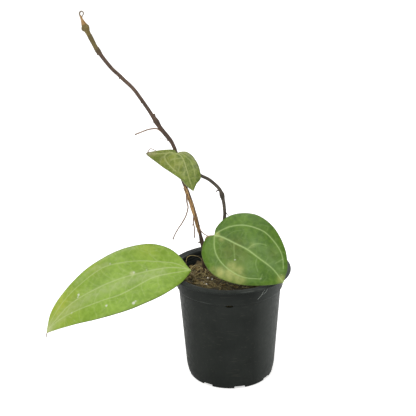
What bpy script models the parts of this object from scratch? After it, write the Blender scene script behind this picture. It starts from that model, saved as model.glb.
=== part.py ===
"""A rooted hoya cutting in a round nursery pot: pot, potting mix, vines, leaves and aerial roots.

Metres, +Z up. The origin is the centre of the pot's underside, +X points to the right of the plant's
front and +Y to its back. Lengths below are written in millimetres and turned into metres by MM.
"""
import math

import bmesh
import bpy
from mathutils import Vector, noise

MM = 0.001
SEAT_GAP = 0.35          # clearance kept between two pieces that touch

# Pot
POT_HEIGHT = 95.0
RIM_RADIUS = 51.0
LIP_THICKNESS = 1.8
WALL = 1.2
COLLAR_TOP_RADIUS = 45.4
COLLAR_FOOT_RADIUS = 44.5
COLLAR_FOOT_Z = 81.0
BODY_TOP_RADIUS = 42.8
BODY_FOOT_RADIUS = 37.7
BODY_FOOT_Z = 9.0
BASE_RADIUS = 36.0
FLOOR_RECESS = 1.5
FLOOR_TOP_Z = 3.4
POT_SEGMENTS = 64
NOTCH_COUNT = 8
NOTCH_WIDTH = 9.0
NOTCH_HEIGHT = 1.9
NOTCH_PHASE = math.radians(-79.0)
DRAIN_RADIUS = 3.2
DRAIN_CIRCLE = 24.0
SLOT_X = -1.5
SLOT_Z = COLLAR_FOOT_Z - 2.0
SLOT_SIZE = (6.4, 8.0, 2.0)

# Potting mix
SOIL_LEVEL = 88.5
SOIL_RISE_FRONT = 4.2
SOIL_DROP_LEFT = 6.5
SOIL_SIDES = 48
SHOULDER_DROP = 1.6

# Plant
VINE_RADIUS = 1.35
FRONT = 0.0              # angles round a stem, from the plant's front
LEFT = -0.5 * math.pi
RIGHT = 0.5 * math.pi
LEAF_THICKNESS = 0.9

MAIN_VINE = ((-20.4, 5.0, 89.0), (-20.9, 3.4, 104.0), (-22.0, 2.0, 118.5), (-24.8, 1.0, 132.6),
             (-28.2, 1.0, 145.0), (-33.0, 1.0, 160.5), (-36.4, 1.0, 170.0), (-38.9, 1.0, 181.5),
             (-41.5, 1.0, 193.5), (-45.1, 1.0, 203.5), (-51.9, 2.0, 212.8), (-57.2, 3.0, 221.7),
             (-63.5, 4.0, 231.2), (-70.9, 5.0, 243.3), (-81.0, 6.0, 254.4), (-90.0, 7.0, 263.3),
             (-99.4, 8.0, 275.6), (-103.6, 9.0, 284.0), (-105.4, 9.0, 287.6))
ARCH_STEM = ((-36.4, 1.0, 180.0), (-29.3, 1.0, 177.9), (-21.7, 2.0, 174.3), (-15.0, 2.0, 170.6),
             (-8.3, 2.0, 163.6), (-5.2, 2.0, 159.4), (-3.8, 2.0, 153.0), (-3.5, 2.0, 146.0),
             (-4.0, 2.2, 134.0), (-5.9, 3.0, 112.0), (-7.0, 4.0, 89.0))


def scaled(point):
    """A millimetre triple as a vector in metres."""
    return Vector(point) * MM


def make_material(name, colour, roughness, metallic=0.0):
    """A plain Principled material."""
    material = bpy.data.materials.new(name)
    material.use_nodes = True
    shader = material.node_tree.nodes["Principled BSDF"]
    shader.inputs["Base Color"].default_value = (*colour, 1.0)
    shader.inputs["Roughness"].default_value = roughness
    shader.inputs["Metallic"].default_value = metallic
    material.diffuse_color = (*colour, 1.0)
    return material


def add_object(name, mesh_data, material):
    """Turn a bmesh into a named object with outward normals."""
    mesh_data.normal_update()
    bmesh.ops.recalc_face_normals(mesh_data, faces=mesh_data.faces)
    mesh = bpy.data.meshes.new(name)
    mesh_data.to_mesh(mesh)
    mesh_data.free()
    mesh.materials.append(material)
    part = bpy.data.objects.new(name, mesh)
    bpy.context.collection.objects.link(part)
    return part


def smooth_path(points, steps):
    """Catmull-Rom points through the given ones, with the given steps in each span."""
    knots = [Vector(point) for point in points]
    ends = [knots[0] * 2.0 - knots[1]] + knots + [knots[-1] * 2.0 - knots[-2]]
    path = []
    for index in range(len(knots) - 1):
        before, start, end, after = ends[index:index + 4]
        for step in range(steps):
            t = step / steps
            path.append(0.5 * (2.0 * start + (end - before) * t
                               + (2.0 * before - 5.0 * start + 4.0 * end - after) * t ** 2
                               + (3.0 * start - before - 3.0 * end + after) * t ** 3))
    path.append(knots[-1])
    return path


def turning_frames(path):
    """One (tangent, side) pair for each point, with the side carried along without twisting."""
    frames = []
    side = None
    for index, _ in enumerate(path):
        tangent = (path[min(index + 1, len(path) - 1)] - path[max(index - 1, 0)]).normalized()
        if side is None:
            side = tangent.orthogonal()
        side = (side - tangent * side.dot(tangent)).normalized()
        frames.append((tangent, side))
    return frames


def add_tube(name, points, radius_at, material, steps=4, sides=10):
    """A closed round tube in millimetres; radius_at maps 0..1 along the path to a radius."""
    path = smooth_path(points, steps)
    mesh_data = bmesh.new()
    rings = []
    for index, (centre, (tangent, side)) in enumerate(zip(path, turning_frames(path))):
        other = tangent.cross(side)
        radius = radius_at(index / (len(path) - 1))
        angles = [2.0 * math.pi * k / sides for k in range(sides)]
        rings.append([mesh_data.verts.new((centre + radius * (side * math.cos(a) + other * math.sin(a))) * MM)
                      for a in angles])
    for near, far in zip(rings, rings[1:]):
        for k in range(sides):
            mesh_data.faces.new((near[k], near[(k + 1) % sides], far[(k + 1) % sides], far[k]))
    mesh_data.faces.new(rings[0])
    mesh_data.faces.new(rings[-1])
    return add_object(name, mesh_data, material)


def swollen(base, nodes):
    """A radius function: base radius with a rounded swelling at each (place, extra, spread)."""
    def radius_at(t):
        return base + sum(extra * math.exp(-((t - place) / spread) ** 2) for place, extra, spread in nodes)
    return radius_at


def tapered(start, end):
    """A radius function that runs evenly from start to end."""
    return lambda t: start + (end - start) * t


# ---------------------------------------------------------------- pot

def pot_profile():
    """The wall's closed section as (radius, height) pairs, from the underside round to the floor."""
    lip_under = POT_HEIGHT - LIP_THICKNESS
    inside = COLLAR_TOP_RADIUS - WALL
    return [(0.0, 0.0), (12.0, 0.0), (13.0, FLOOR_RECESS), (30.0, FLOOR_RECESS), (31.0, 0.0),
            (BASE_RADIUS - 0.7, 0.0), (BASE_RADIUS, 0.7), (BODY_FOOT_RADIUS - 0.3, BODY_FOOT_Z - 2.0),
            (BODY_FOOT_RADIUS, BODY_FOOT_Z), (BODY_TOP_RADIUS, COLLAR_FOOT_Z - 1.2),
            (COLLAR_FOOT_RADIUS - 0.5, COLLAR_FOOT_Z - 0.7), (COLLAR_FOOT_RADIUS, COLLAR_FOOT_Z),
            (COLLAR_TOP_RADIUS, lip_under - 0.8), (COLLAR_TOP_RADIUS + 0.8, lip_under),
            (RIM_RADIUS - 0.5, lip_under), (RIM_RADIUS, lip_under + 0.5), (RIM_RADIUS, POT_HEIGHT - 0.5),
            (RIM_RADIUS - 0.5, POT_HEIGHT), (inside + 0.6, POT_HEIGHT), (inside, POT_HEIGHT - 0.6),
            (COLLAR_FOOT_RADIUS - WALL, COLLAR_FOOT_Z + 0.6), (BODY_TOP_RADIUS - WALL, COLLAR_FOOT_Z - 1.0),
            (BODY_FOOT_RADIUS - WALL, BODY_FOOT_Z), (BASE_RADIUS - 2.0, FLOOR_TOP_Z), (0.0, FLOOR_TOP_Z)]


def inner_radius(height):
    """The pot's inner radius at a height."""
    if height >= COLLAR_FOOT_Z:
        return COLLAR_FOOT_RADIUS - WALL
    low = BODY_FOOT_RADIUS - WALL
    high = BODY_TOP_RADIUS - WALL
    if height >= BODY_FOOT_Z:
        return low + (high - low) * (height - BODY_FOOT_Z) / (COLLAR_FOOT_Z - 1.0 - BODY_FOOT_Z)
    foot = BASE_RADIUS - 2.0
    return foot + (low - foot) * (height - FLOOR_TOP_Z) / (BODY_FOOT_Z - FLOOR_TOP_Z)


def add_cutter(name, mesh_data, material):
    """A hidden solid that a Boolean takes away."""
    cutter = add_object(name, mesh_data, material)
    cutter.hide_render = True
    cutter.display_type = "WIRE"
    return cutter


def subtract(part, cutter):
    """Cut one solid out of a part."""
    boolean = part.modifiers.new(cutter.name, "BOOLEAN")
    boolean.operation = "DIFFERENCE"
    boolean.solver = "EXACT"
    boolean.object = cutter


def turned_box(mesh_data, size, centre, angle):
    """Add a box turned about Z and moved to its place."""
    made = bmesh.ops.create_cube(mesh_data, size=1.0)
    bmesh.ops.scale(mesh_data, vec=Vector(size) * MM, verts=made["verts"])
    bmesh.ops.translate(mesh_data, vec=scaled(centre), verts=made["verts"])
    cosine = math.cos(angle)
    sine = math.sin(angle)
    for vert in made["verts"]:
        x, y, z = vert.co
        vert.co = (x * cosine - y * sine, x * sine + y * cosine, z)


def notch_cutters(material):
    """Low notches through the foot, which let water run out from under the pot."""
    mesh_data = bmesh.new()
    for index in range(NOTCH_COUNT):
        angle = NOTCH_PHASE + 2.0 * math.pi * index / NOTCH_COUNT
        turned_box(mesh_data, (10.0, NOTCH_WIDTH, 2.0 * NOTCH_HEIGHT), (BASE_RADIUS, 0.0, 0.0), angle)
    return add_cutter("notch_cutter", mesh_data, material)


def drain_cutters(material):
    """Drain holes through the floor, one for each pair of notches."""
    mesh_data = bmesh.new()
    for index in range(NOTCH_COUNT // 2):
        angle = NOTCH_PHASE + 4.0 * math.pi * index / NOTCH_COUNT
        made = bmesh.ops.create_cone(mesh_data, cap_ends=True, segments=20, radius1=DRAIN_RADIUS * MM,
                                     radius2=DRAIN_RADIUS * MM, depth=12.0 * MM)
        centre = (DRAIN_CIRCLE * math.cos(angle), DRAIN_CIRCLE * math.sin(angle), 2.0)
        bmesh.ops.translate(mesh_data, vec=scaled(centre), verts=made["verts"])
    return add_cutter("drain_cutter", mesh_data, material)


def slot_cutter(material):
    """The small oval slot in the front wall, just under the collar."""
    mesh_data = bmesh.new()
    length, depth, height = SLOT_SIZE
    made = bmesh.ops.create_cone(mesh_data, cap_ends=True, segments=20, radius1=0.5, radius2=0.5, depth=1.0)
    for vert in made["verts"]:
        x, y, z = vert.co
        vert.co = scaled((x * length + SLOT_X, -BODY_TOP_RADIUS + z * depth, SLOT_Z + y * height))
    return add_cutter("slot_cutter", mesh_data, material)


def build_pot(material):
    """The thin moulded pot: tapered wall, collar, flanged lip, notched foot and drained floor."""
    mesh_data = bmesh.new()
    verts = [mesh_data.verts.new(scaled((radius, 0.0, height))) for radius, height in pot_profile()]
    edges = [mesh_data.edges.new(pair) for pair in zip(verts, verts[1:])]
    bmesh.ops.spin(mesh_data, geom=verts + edges, cent=(0.0, 0.0, 0.0), axis=(0.0, 0.0, 1.0),
                   angle=2.0 * math.pi, steps=POT_SEGMENTS, use_merge=True)
    bmesh.ops.remove_doubles(mesh_data, verts=mesh_data.verts, dist=0.02 * MM)
    pot = add_object("pot", mesh_data, material)
    for cutter in (notch_cutters(material), drain_cutters(material), slot_cutter(material)):
        subtract(pot, cutter)


# ---------------------------------------------------------------- potting mix

def soil_height(x, y):
    """Height of the mix's top: high at the front, sunk away at the left and level at the back."""
    front = 0.5 - 0.5 * math.cos(math.pi * min(max(-y / 42.0, 0.0), 1.0))
    left = min(max((-x - 22.0) / 18.0, 0.0), 1.0)
    bumps = noise.noise(Vector((x, y, 3.0)) * 0.09) * 1.3
    return SOIL_LEVEL + SOIL_RISE_FRONT * front - SOIL_DROP_LEFT * left * left + bumps


def soil_edge(angle):
    """Radius of the mix's shoulder: against the wall in front, drawn in at the left and back."""
    away = 0.5 - 0.5 * math.cos(angle + math.radians(60.0))
    return inner_radius(SOIL_LEVEL) - SEAT_GAP - 3.4 * away ** 2


def build_potting_mix(material):
    """The packed mix as one closed body that follows the inside of the wall."""
    mesh_data = bmesh.new()
    angles = [2.0 * math.pi * k / SOIL_SIDES for k in range(SOIL_SIDES)]
    rings = []
    for height in (FLOOR_TOP_Z + SEAT_GAP, BODY_FOOT_Z + SEAT_GAP, 42.0, COLLAR_FOOT_Z - 2.0):
        radius = (inner_radius(height) - SEAT_GAP) / math.cos(math.pi / SOIL_SIDES) - 0.3
        rings.append([mesh_data.verts.new(scaled((radius * math.cos(a), radius * math.sin(a), height)))
                      for a in angles])
    for share in (1.0, 0.93, 0.8, 0.6, 0.4, 0.2):
        ring = []
        for a in angles:
            x = soil_edge(a) * share * math.cos(a)
            y = soil_edge(a) * share * math.sin(a)
            drop = SHOULDER_DROP if share == 1.0 else 0.0
            ring.append(mesh_data.verts.new(scaled((x, y, soil_height(x, y) - drop))))
        rings.append(ring)
    for low, high in zip(rings, rings[1:]):
        for k in range(SOIL_SIDES):
            after = (k + 1) % SOIL_SIDES
            mesh_data.faces.new((low[k], low[after], high[after], high[k]))
    top = mesh_data.verts.new(scaled((0.0, 0.0, soil_height(0.0, 0.0))))
    for k in range(SOIL_SIDES):
        mesh_data.faces.new((rings[-1][k], rings[-1][(k + 1) % SOIL_SIDES], top))
    mesh_data.faces.new(rings[0])
    add_object("potting_mix", mesh_data, material)


def resting_height(x, y, reach):
    """Lowest height at which a piece with this reach clears the mix below it."""
    around = [soil_height(x + reach * i / 2.0, y + reach * j / 2.0) for i in range(-2, 3) for j in range(-2, 3)]
    return max(around) + SEAT_GAP


def build_bark_chip(name, place, size, turn, material):
    """One flat bark chip, an uneven bevelled slab lying on the mix."""
    x, y = place
    length, width, height = size
    mesh_data = bmesh.new()
    bmesh.ops.create_cube(mesh_data, size=1.0)
    base = resting_height(x, y, 0.5 * math.hypot(length, width))
    for index, vert in enumerate(mesh_data.verts):
        squeeze = 0.8 + 0.2 * math.sin(2.3 * index)
        across = vert.co.x * length * squeeze
        along = vert.co.y * width * (1.6 - squeeze)
        up = (vert.co.z + 0.5) * height
        vert.co = scaled((x + across * math.cos(turn) - along * math.sin(turn),
                          y + across * math.sin(turn) + along * math.cos(turn), base + up))
    mesh_data.normal_update()
    bmesh.ops.bevel(mesh_data, geom=mesh_data.edges[:], offset=0.4 * MM, segments=1, profile=0.5,
                    affect="EDGES")
    add_object(name, mesh_data, material)


def build_perlite(name, place, radius, material):
    """One crumb of perlite on the mix."""
    x, y = place
    mesh_data = bmesh.new()
    bmesh.ops.create_icosphere(mesh_data, subdivisions=1, radius=radius * MM)
    centre = scaled((x, y, resting_height(x, y, radius) + radius))
    bmesh.ops.translate(mesh_data, vec=centre, verts=mesh_data.verts)
    add_object(name, mesh_data, material)


def build_surface_fibre(name, places, lift, material):
    """A pale root fibre that arches over the mix between its two ends."""
    points = []
    for index, (x, y) in enumerate(places):
        arch = lift * math.sin(math.pi * index / (len(places) - 1))
        points.append((x, y, resting_height(x, y, 1.5) + 0.6 + arch))
    add_tube(name, points, tapered(0.55, 0.45), material, steps=4, sides=8)


# ---------------------------------------------------------------- leaves

class LeafBlade:
    """A leaf blade laid out flat about its base, then placed and bent.

    along runs from base to tip and up is the upper face's side. midrib, far and near are outlines as
    (along, across) pairs that share their first and last points. rise lifts the middle of the blade,
    and cup bends the margins by the square of their distance from the chord.
    """

    def __init__(self, base, tip, up, rise, cup):
        self.base = Vector(base)
        chord = Vector(tip) - self.base
        self.length = chord.length
        self.along = chord.normalized()
        up = Vector(up)
        self.up = (up - self.along * up.dot(self.along)).normalized()
        self.across = self.up.cross(self.along)
        self.rise = rise
        self.cup = cup

    def point(self, u, v, lift=0.0):
        """The place of the blade point (u, v), lifted off the middle surface."""
        share = min(max(u / self.length, 0.0), 1.0)
        height = self.rise * math.sin(math.pi * share) + self.cup * v * v + lift
        return self.base + self.along * u + self.across * v + self.up * height

    def build(self, name, midrib, far, near, material, rows=18, columns=5):
        """Make the blade as a sheet between its margins, thickened on both sides."""
        mesh_data = bmesh.new()
        spine = resampled(midrib, rows)
        margins = (resampled(far, rows), resampled(near, rows))
        grid = []
        for row in range(rows + 1):
            line = []
            for column in range(-columns, columns + 1):
                margin = margins[0] if column < 0 else margins[1]
                flat = spine[row].lerp(margin[row], abs(column) / columns)
                line.append(mesh_data.verts.new(self.point(flat.x, flat.y) * MM))
            grid.append(line)
        for low, high in zip(grid, grid[1:]):
            for k in range(2 * columns):
                mesh_data.faces.new((low[k], low[k + 1], high[k + 1], high[k]))
        bmesh.ops.remove_doubles(mesh_data, verts=mesh_data.verts, dist=0.05 * MM)
        leaf = add_object(name, mesh_data, material)
        solidify = leaf.modifiers.new("thickness", "SOLIDIFY")
        solidify.thickness = LEAF_THICKNESS * MM
        solidify.offset = 0.0


def resampled(outline, rows):
    """Points at even arc-length steps along a smooth flat outline."""
    path = smooth_path([(u, v, 0.0) for u, v in outline], 12)
    travelled = [0.0]
    for start, end in zip(path, path[1:]):
        travelled.append(travelled[-1] + (end - start).length)
    samples = []
    index = 0
    for row in range(rows + 1):
        wanted = travelled[-1] * row / rows
        while index < len(path) - 2 and travelled[index + 1] < wanted:
            index += 1
        span = travelled[index + 1] - travelled[index]
        samples.append(path[index].lerp(path[index + 1], (wanted - travelled[index]) / span))
    return samples


def build_leaves(material):
    """The three blades: a long one over the rim, a round one over the pot and a small drooping one."""
    long_leaf = LeafBlade((-31.7, -22.0, 101.8), (-147.9, -44.0, 60.2), (-0.153, -0.63, 0.761), 12.0, 0.006)
    long_leaf.build(
        "leaf_long",
        [(0, 0), (15, -7), (31, -10), (55, -11.5), (80, -12), (108, -10), (125.4, 0)],
        [(0, 0), (2, -16.5), (10, -24), (21, -29.5), (45, -31.5), (74, -29.5), (103, -20.5), (118, -13),
         (125.4, 0)],
        [(0, 0), (15.5, 9.5), (34.5, 15), (54, 17), (76, 15), (102, 7), (125.4, 0)], material)
    round_leaf = LeafBlade((-12.2, -16.0, 129.5), (41.0, -42.1, 99.1), (-0.05, -0.799, 0.599), 3.0, -0.003)
    round_leaf.build(
        "leaf_round",
        [(0, 0), (7, 3.5), (28, 5), (41, 4.6), (60, 2.4), (66.6, 0)],
        [(0, 0), (-3.3, -4.2), (-3.7, -8.8), (-1, -15.6), (6, -21.8), (14.3, -25.6), (23, -26),
         (34.6, -23), (46, -17), (59.7, -6.6), (66.6, 0)],
        [(0, 0), (-2.2, 7.7), (-1.7, 16), (2.4, 23.5), (8.4, 29), (16.4, 32.6), (27.2, 33.2), (38.3, 30.4),
         (48.6, 24.6), (57, 17.4), (63, 10.5), (66.6, 0)], material)
    small_leaf = LeafBlade((-41.1, -5.0, 195.4), (-28.5, -22.7, 170.3), (-0.199, -0.845, 0.497), 3.0, -0.005)
    small_leaf.build(
        "leaf_small",
        [(0, 0), (9, 3.3), (18.4, 2.4), (33.2, 0)],
        [(0, 0), (-4.6, -2), (-7.5, -8), (-10.8, -15), (-12.5, -22.8), (-4, -19.7), (3.5, -16.3),
         (12.8, -10.7), (24.5, -4.6), (33.2, 0)],
        [(0, 0), (0.8, 4.1), (2.7, 7.3), (7.4, 10.4), (13.5, 12.4), (19.7, 12.3), (25.2, 11), (29.4, 8.4),
         (33.2, 0)], material, rows=30)
    return long_leaf, round_leaf, small_leaf


# ---------------------------------------------------------------- stems and roots

def planted(route):
    """The route with its lower end lifted to stand on the mix."""
    points = [Vector(point) for point in route]
    foot = min(points, key=lambda point: point.z)
    foot.z = resting_height(foot.x, foot.y, VINE_RADIUS)
    return points


def axis_at(path, height):
    """The point where a path crosses a height."""
    for start, end in zip(path, path[1:]):
        if min(start.z, end.z) <= height <= max(start.z, end.z):
            return start.lerp(end, (height - start.z) / (end.z - start.z))
    return path[-1]


def beside(route, height, turn, away):
    """A point at a distance from a stem's axis, turned round it from the plant's front."""
    path = smooth_path(planted(route), 6)
    centre = axis_at(path, height)
    tangent = (axis_at(path, height + 6.0) - axis_at(path, height - 6.0)).normalized()
    front = (Vector((0.0, -1.0, 0.0)) - tangent * -tangent.y).normalized()
    side = tangent.cross(front)
    return centre + (front * math.cos(turn) + side * math.sin(turn)) * away


def build_stems(green, brown):
    """The main vine, its growing tip and the arching stem."""
    nodes = [(0.03, 0.5, 0.02), (0.13, 0.45, 0.015), (0.45, 0.5, 0.02), (0.632, 0.5, 0.015),
             (0.938, 0.6, 0.015)]
    add_tube("main_vine", planted(MAIN_VINE), swollen(VINE_RADIUS, nodes), brown)
    arch = planted(ARCH_STEM)
    arch[0] = beside(MAIN_VINE, 180.0, RIGHT, VINE_RADIUS + 2.6 * SEAT_GAP)
    add_tube("arch_stem", arch, swollen(VINE_RADIUS, [(0.42, 0.6, 0.03)]), brown)
    add_tube("growing_tip", [(-105.6, 9.0, 288.0), (-107.4, 9.0, 291.2), (-109.1, 9.0, 295.0),
                             (-110.9, 9.0, 299.2), (-112.2, 9.0, 302.0)],
             swollen(1.3, [(0.38, 1.3, 0.22), (0.95, 0.4, 0.1)]), green, steps=5)
    add_tube("tip_hook", [(-112.5, 9.0, 302.8), (-111.9, 9.0, 305.0), (-110.2, 9.0, 305.9), (-108.8, 9.0, 304.4),
                          (-110.0, 8.6, 302.6)], tapered(0.55, 0.4), green, sides=8)


def build_petioles(long_leaf, round_leaf, small_leaf, material):
    """Short stalks that end just under each blade's base."""
    under = -(0.5 * LEAF_THICKNESS + 1.6)
    long_end = long_leaf.point(6.0, -3.0, under)
    foot = Vector((-29.5, -13.0, resting_height(-29.5, -13.0, 1.3)))
    add_tube("petiole_long", [foot, foot + Vector((-0.5, -0.6, 4.0)), long_end], tapered(1.25, 1.1), material,
             steps=6)
    round_end = round_leaf.point(1.5, 1.0, under)
    add_tube("petiole_round", [(-20.4, -0.1, 119.6), (-19.4, -3.6, 123.2), (-16.4, -10.0, 127.4),
                               round_end], tapered(1.15, 1.0), material, steps=5)
    small_end = small_leaf.point(3.0, 0.5, under + 0.4)
    add_tube("petiole_small", [beside(MAIN_VINE, 191.0, FRONT, VINE_RADIUS + 0.8 + SEAT_GAP),
                               (-40.4, -2.8, 191.9), small_end], tapered(1.0, 0.9), material, steps=4)


def clinging_root(name, first, last, turn, radius, material):
    """A root that runs along the main vine's surface between two heights, at an angle round it."""
    away = VINE_RADIUS + SEAT_GAP + radius + 0.15
    heights = [first + (last - first) * step / 5.0 for step in range(6)]
    points = [beside(MAIN_VINE, height, turn, away) for height in heights]
    add_tube(name, points, tapered(radius * 0.8, radius), material, steps=3, sides=8)


def build_roots(material):
    """Aerial roots: a clinging bundle, loose hanging hairs and short side roots."""
    for index, (first, last, turn, radius) in enumerate(((123.0, 164.0, -0.95, 0.75), (131.0, 164.0, 0.1, 0.7),
                                                         (137.0, 162.0, 1.1, 0.6))):
        clinging_root(f"clinging_root_{index + 1}", first, last, turn, radius, material)
    start = VINE_RADIUS + SEAT_GAP + 0.3
    hairs = {
        "hanging_root_1": [(-34.4, -2.6, 158.2), (-34.0, -3.6, 154.0), (-33.2, -3.6, 148.9), (-35.1, -4.0, 142.5),
                           (-37.8, -4.0, 136.7), (-40.1, -5.0, 132.8), (-46.1, -6.0, 122.7)],
        "hanging_root_2": [(-28.6, -2.6, 139.6), (-29.1, -3.4, 135.6), (-28.3, -3.2, 131.8), (-28.5, -3.0, 122.8)],
        "hanging_root_3": [beside(MAIN_VINE, 127.0, FRONT, start + 0.2), (-21.6, -3.0, 125.4), (-19.2, -6.2, 127.4)],
        "vine_root_1": [beside(MAIN_VINE, 212.4, LEFT + 0.6, start + 0.3), (-56.0, -1.0, 214.8),
                        (-59.8, -2.0, 215.1), (-65.6, -3.0, 213.9), (-73.2, -4.0, 211.2)],
        "vine_root_2": [beside(MAIN_VINE, 204.2, LEFT, start + 0.2), (-50.5, 0.5, 206.0), (-54.0, 0.0, 206.5)],
        "arch_root": [beside(ARCH_STEM, 143.0, RIGHT - 0.6, start), (-0.9, 0.0, 141.8), (-0.3, -1.0, 140.6)],
        "arch_stub": [beside(ARCH_STEM, 161.0, LEFT + 0.5, start + 0.3), (-10.4, 0.0, 160.6)],
    }
    for name, points in hairs.items():
        add_tube(name, points, tapered(0.5, 0.4), material, sides=6)


def build_leaf_threads(long_leaf, small_leaf, material):
    """The dry thread that each pointed leaf ends in."""
    small_start = small_leaf.point(-12.6, -22.9)
    small_thread = [small_start, small_start + Vector((0.6, 0.0, 2.6)), small_start + Vector((3.2, 0.0, 5.4)),
                    small_start + Vector((7.4, 0.0, 3.8))]
    add_tube("leaf_small_thread", small_thread, tapered(0.4, 0.3), material, sides=6)
    long_start = long_leaf.point(long_leaf.length + 0.8, 0.2)
    long_thread = [long_start, long_start + Vector((-0.9, -0.2, -2.6)), long_start + Vector((-1.4, -0.4, -6.0))]
    add_tube("leaf_long_thread", long_thread, tapered(0.4, 0.3), material, sides=6)


def build_soil_top(bark, perlite, fibre):
    """Loose pieces on the mix: bark chips, perlite crumbs and pale root fibres."""
    chips = (((-28.0, 2.0), (8.0, 5.0, 2.6), 0.4), ((-18.0, -20.0), (7.0, 4.0, 2.4), 1.5),
             ((-4.0, -31.0), (9.0, 5.0, 2.4), 0.2), ((-8.0, 31.0), (9.0, 6.0, 2.6), 0.9),
             ((26.0, -8.0), (8.0, 5.0, 2.6), 2.2))
    for index, (place, size, turn) in enumerate(chips):
        build_bark_chip(f"bark_chip_{index + 1}", place, size, turn, bark)
    crumbs = (((-24.5, -24.5), 1.0), ((-11.5, -24.5), 1.2), ((-15.5, -31.0), 0.9))
    for index, (place, radius) in enumerate(crumbs):
        build_perlite(f"perlite_{index + 1}", place, radius, perlite)
    build_surface_fibre("surface_fibre_1", ((-30.0, 12.0), (-26.0, 15.5), (-20.0, 16.0), (-15.0, 13.0)), 3.0, fibre)
    build_surface_fibre("surface_fibre_2", ((-26.5, -11.0), (-25.5, -15.0), (-26.5, -19.0), (-27.5, -22.0)), 1.5, fibre)


def main():
    """Clear the scene and build every piece."""
    for leftover in list(bpy.data.objects):
        bpy.data.objects.remove(leftover, do_unlink=True)
    pot_plastic = make_material("pot_plastic", (0.028, 0.029, 0.027), 0.5)
    mix = make_material("potting_mix", (0.09, 0.05, 0.025), 0.95)
    bark = make_material("bark", (0.12, 0.06, 0.03), 0.9)
    perlite = make_material("perlite", (0.75, 0.73, 0.68), 0.8)
    leaf_green = make_material("leaf_green", (0.17, 0.29, 0.06), 0.4)
    stem_brown = make_material("stem_brown", (0.09, 0.06, 0.04), 0.7)
    tip_green = make_material("tip_green", (0.2, 0.18, 0.09), 0.6)
    root_tan = make_material("root_tan", (0.42, 0.22, 0.1), 0.7)
    build_pot(pot_plastic)
    build_potting_mix(mix)
    build_soil_top(bark, perlite, root_tan)
    build_stems(tip_green, stem_brown)
    blades = build_leaves(leaf_green)
    build_petioles(*blades, tip_green)
    build_roots(root_tan)
    build_leaf_threads(blades[0], blades[2], root_tan)


if __name__ == "__main__":
    main()
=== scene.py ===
"""Looks of a hoya cutting in a round nursery pot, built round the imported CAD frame.

Lengths are in millimetres until a piece is finished, when MM turns them into metres. +X is the right of
the plant's front, +Y its back and +Z up; the origin is the centre of the pot's underside.
"""
from __future__ import annotations

import logging
import math
import random
from dataclasses import dataclass, field
from enum import Enum
from typing import Iterable, Sequence

import bmesh
import bpy
import numpy as np
from mathutils import Matrix, Vector, noise


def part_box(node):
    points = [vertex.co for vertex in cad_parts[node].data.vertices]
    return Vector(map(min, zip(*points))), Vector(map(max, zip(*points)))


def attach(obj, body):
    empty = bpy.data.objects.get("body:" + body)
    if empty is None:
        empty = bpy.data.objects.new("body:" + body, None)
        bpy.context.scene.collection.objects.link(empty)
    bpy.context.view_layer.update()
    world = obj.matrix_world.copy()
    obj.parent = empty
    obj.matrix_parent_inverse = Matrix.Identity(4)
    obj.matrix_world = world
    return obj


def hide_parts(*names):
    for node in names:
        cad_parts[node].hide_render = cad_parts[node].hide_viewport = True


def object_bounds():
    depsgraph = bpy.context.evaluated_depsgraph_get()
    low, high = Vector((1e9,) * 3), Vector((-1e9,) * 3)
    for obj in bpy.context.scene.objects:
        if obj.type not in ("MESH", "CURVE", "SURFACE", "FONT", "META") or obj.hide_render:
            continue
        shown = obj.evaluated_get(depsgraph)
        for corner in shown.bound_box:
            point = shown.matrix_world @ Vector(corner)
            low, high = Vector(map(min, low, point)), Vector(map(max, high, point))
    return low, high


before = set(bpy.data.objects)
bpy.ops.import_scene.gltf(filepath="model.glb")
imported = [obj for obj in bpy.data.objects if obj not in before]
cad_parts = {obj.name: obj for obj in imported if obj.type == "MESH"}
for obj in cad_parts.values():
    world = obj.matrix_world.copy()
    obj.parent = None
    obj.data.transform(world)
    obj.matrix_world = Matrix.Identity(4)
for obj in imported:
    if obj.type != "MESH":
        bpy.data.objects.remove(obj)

LOG = logging.getLogger("potted_hoya")
MM = 0.001
CAD_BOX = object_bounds()
FULL_TURN = 2.0 * math.pi
SHARP_ANGLE = math.radians(38.0)
PALE_SPECK = (0.66, 0.68, 0.56)

Colour = tuple[float, float, float]
Flat = tuple[float, float]
Place = tuple[float, float, float]
Material = bpy.types.Material
MeshData = bmesh.types.BMesh
Node = bpy.types.Node
NodeTree = bpy.types.NodeTree
Piece = bpy.types.Object
Socket = bpy.types.NodeSocket
Vert = bmesh.types.BMVert


class Slot(Enum):
    """The record's material slots."""

    POT = "pot_plastic"
    MIX = "potting_mix"
    BARK = "bark"
    PERLITE = "perlite"
    LEAF = "leaf_green"
    STEM = "stem_brown"
    TIP = "tip_green"
    ROOT = "root_tan"


class Turn(Enum):
    """Directions round a stem, as angles from the plant's front."""

    FRONT = 0.0
    LEFT = -0.5 * math.pi


# ---------------------------------------------------------------- shader building


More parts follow.
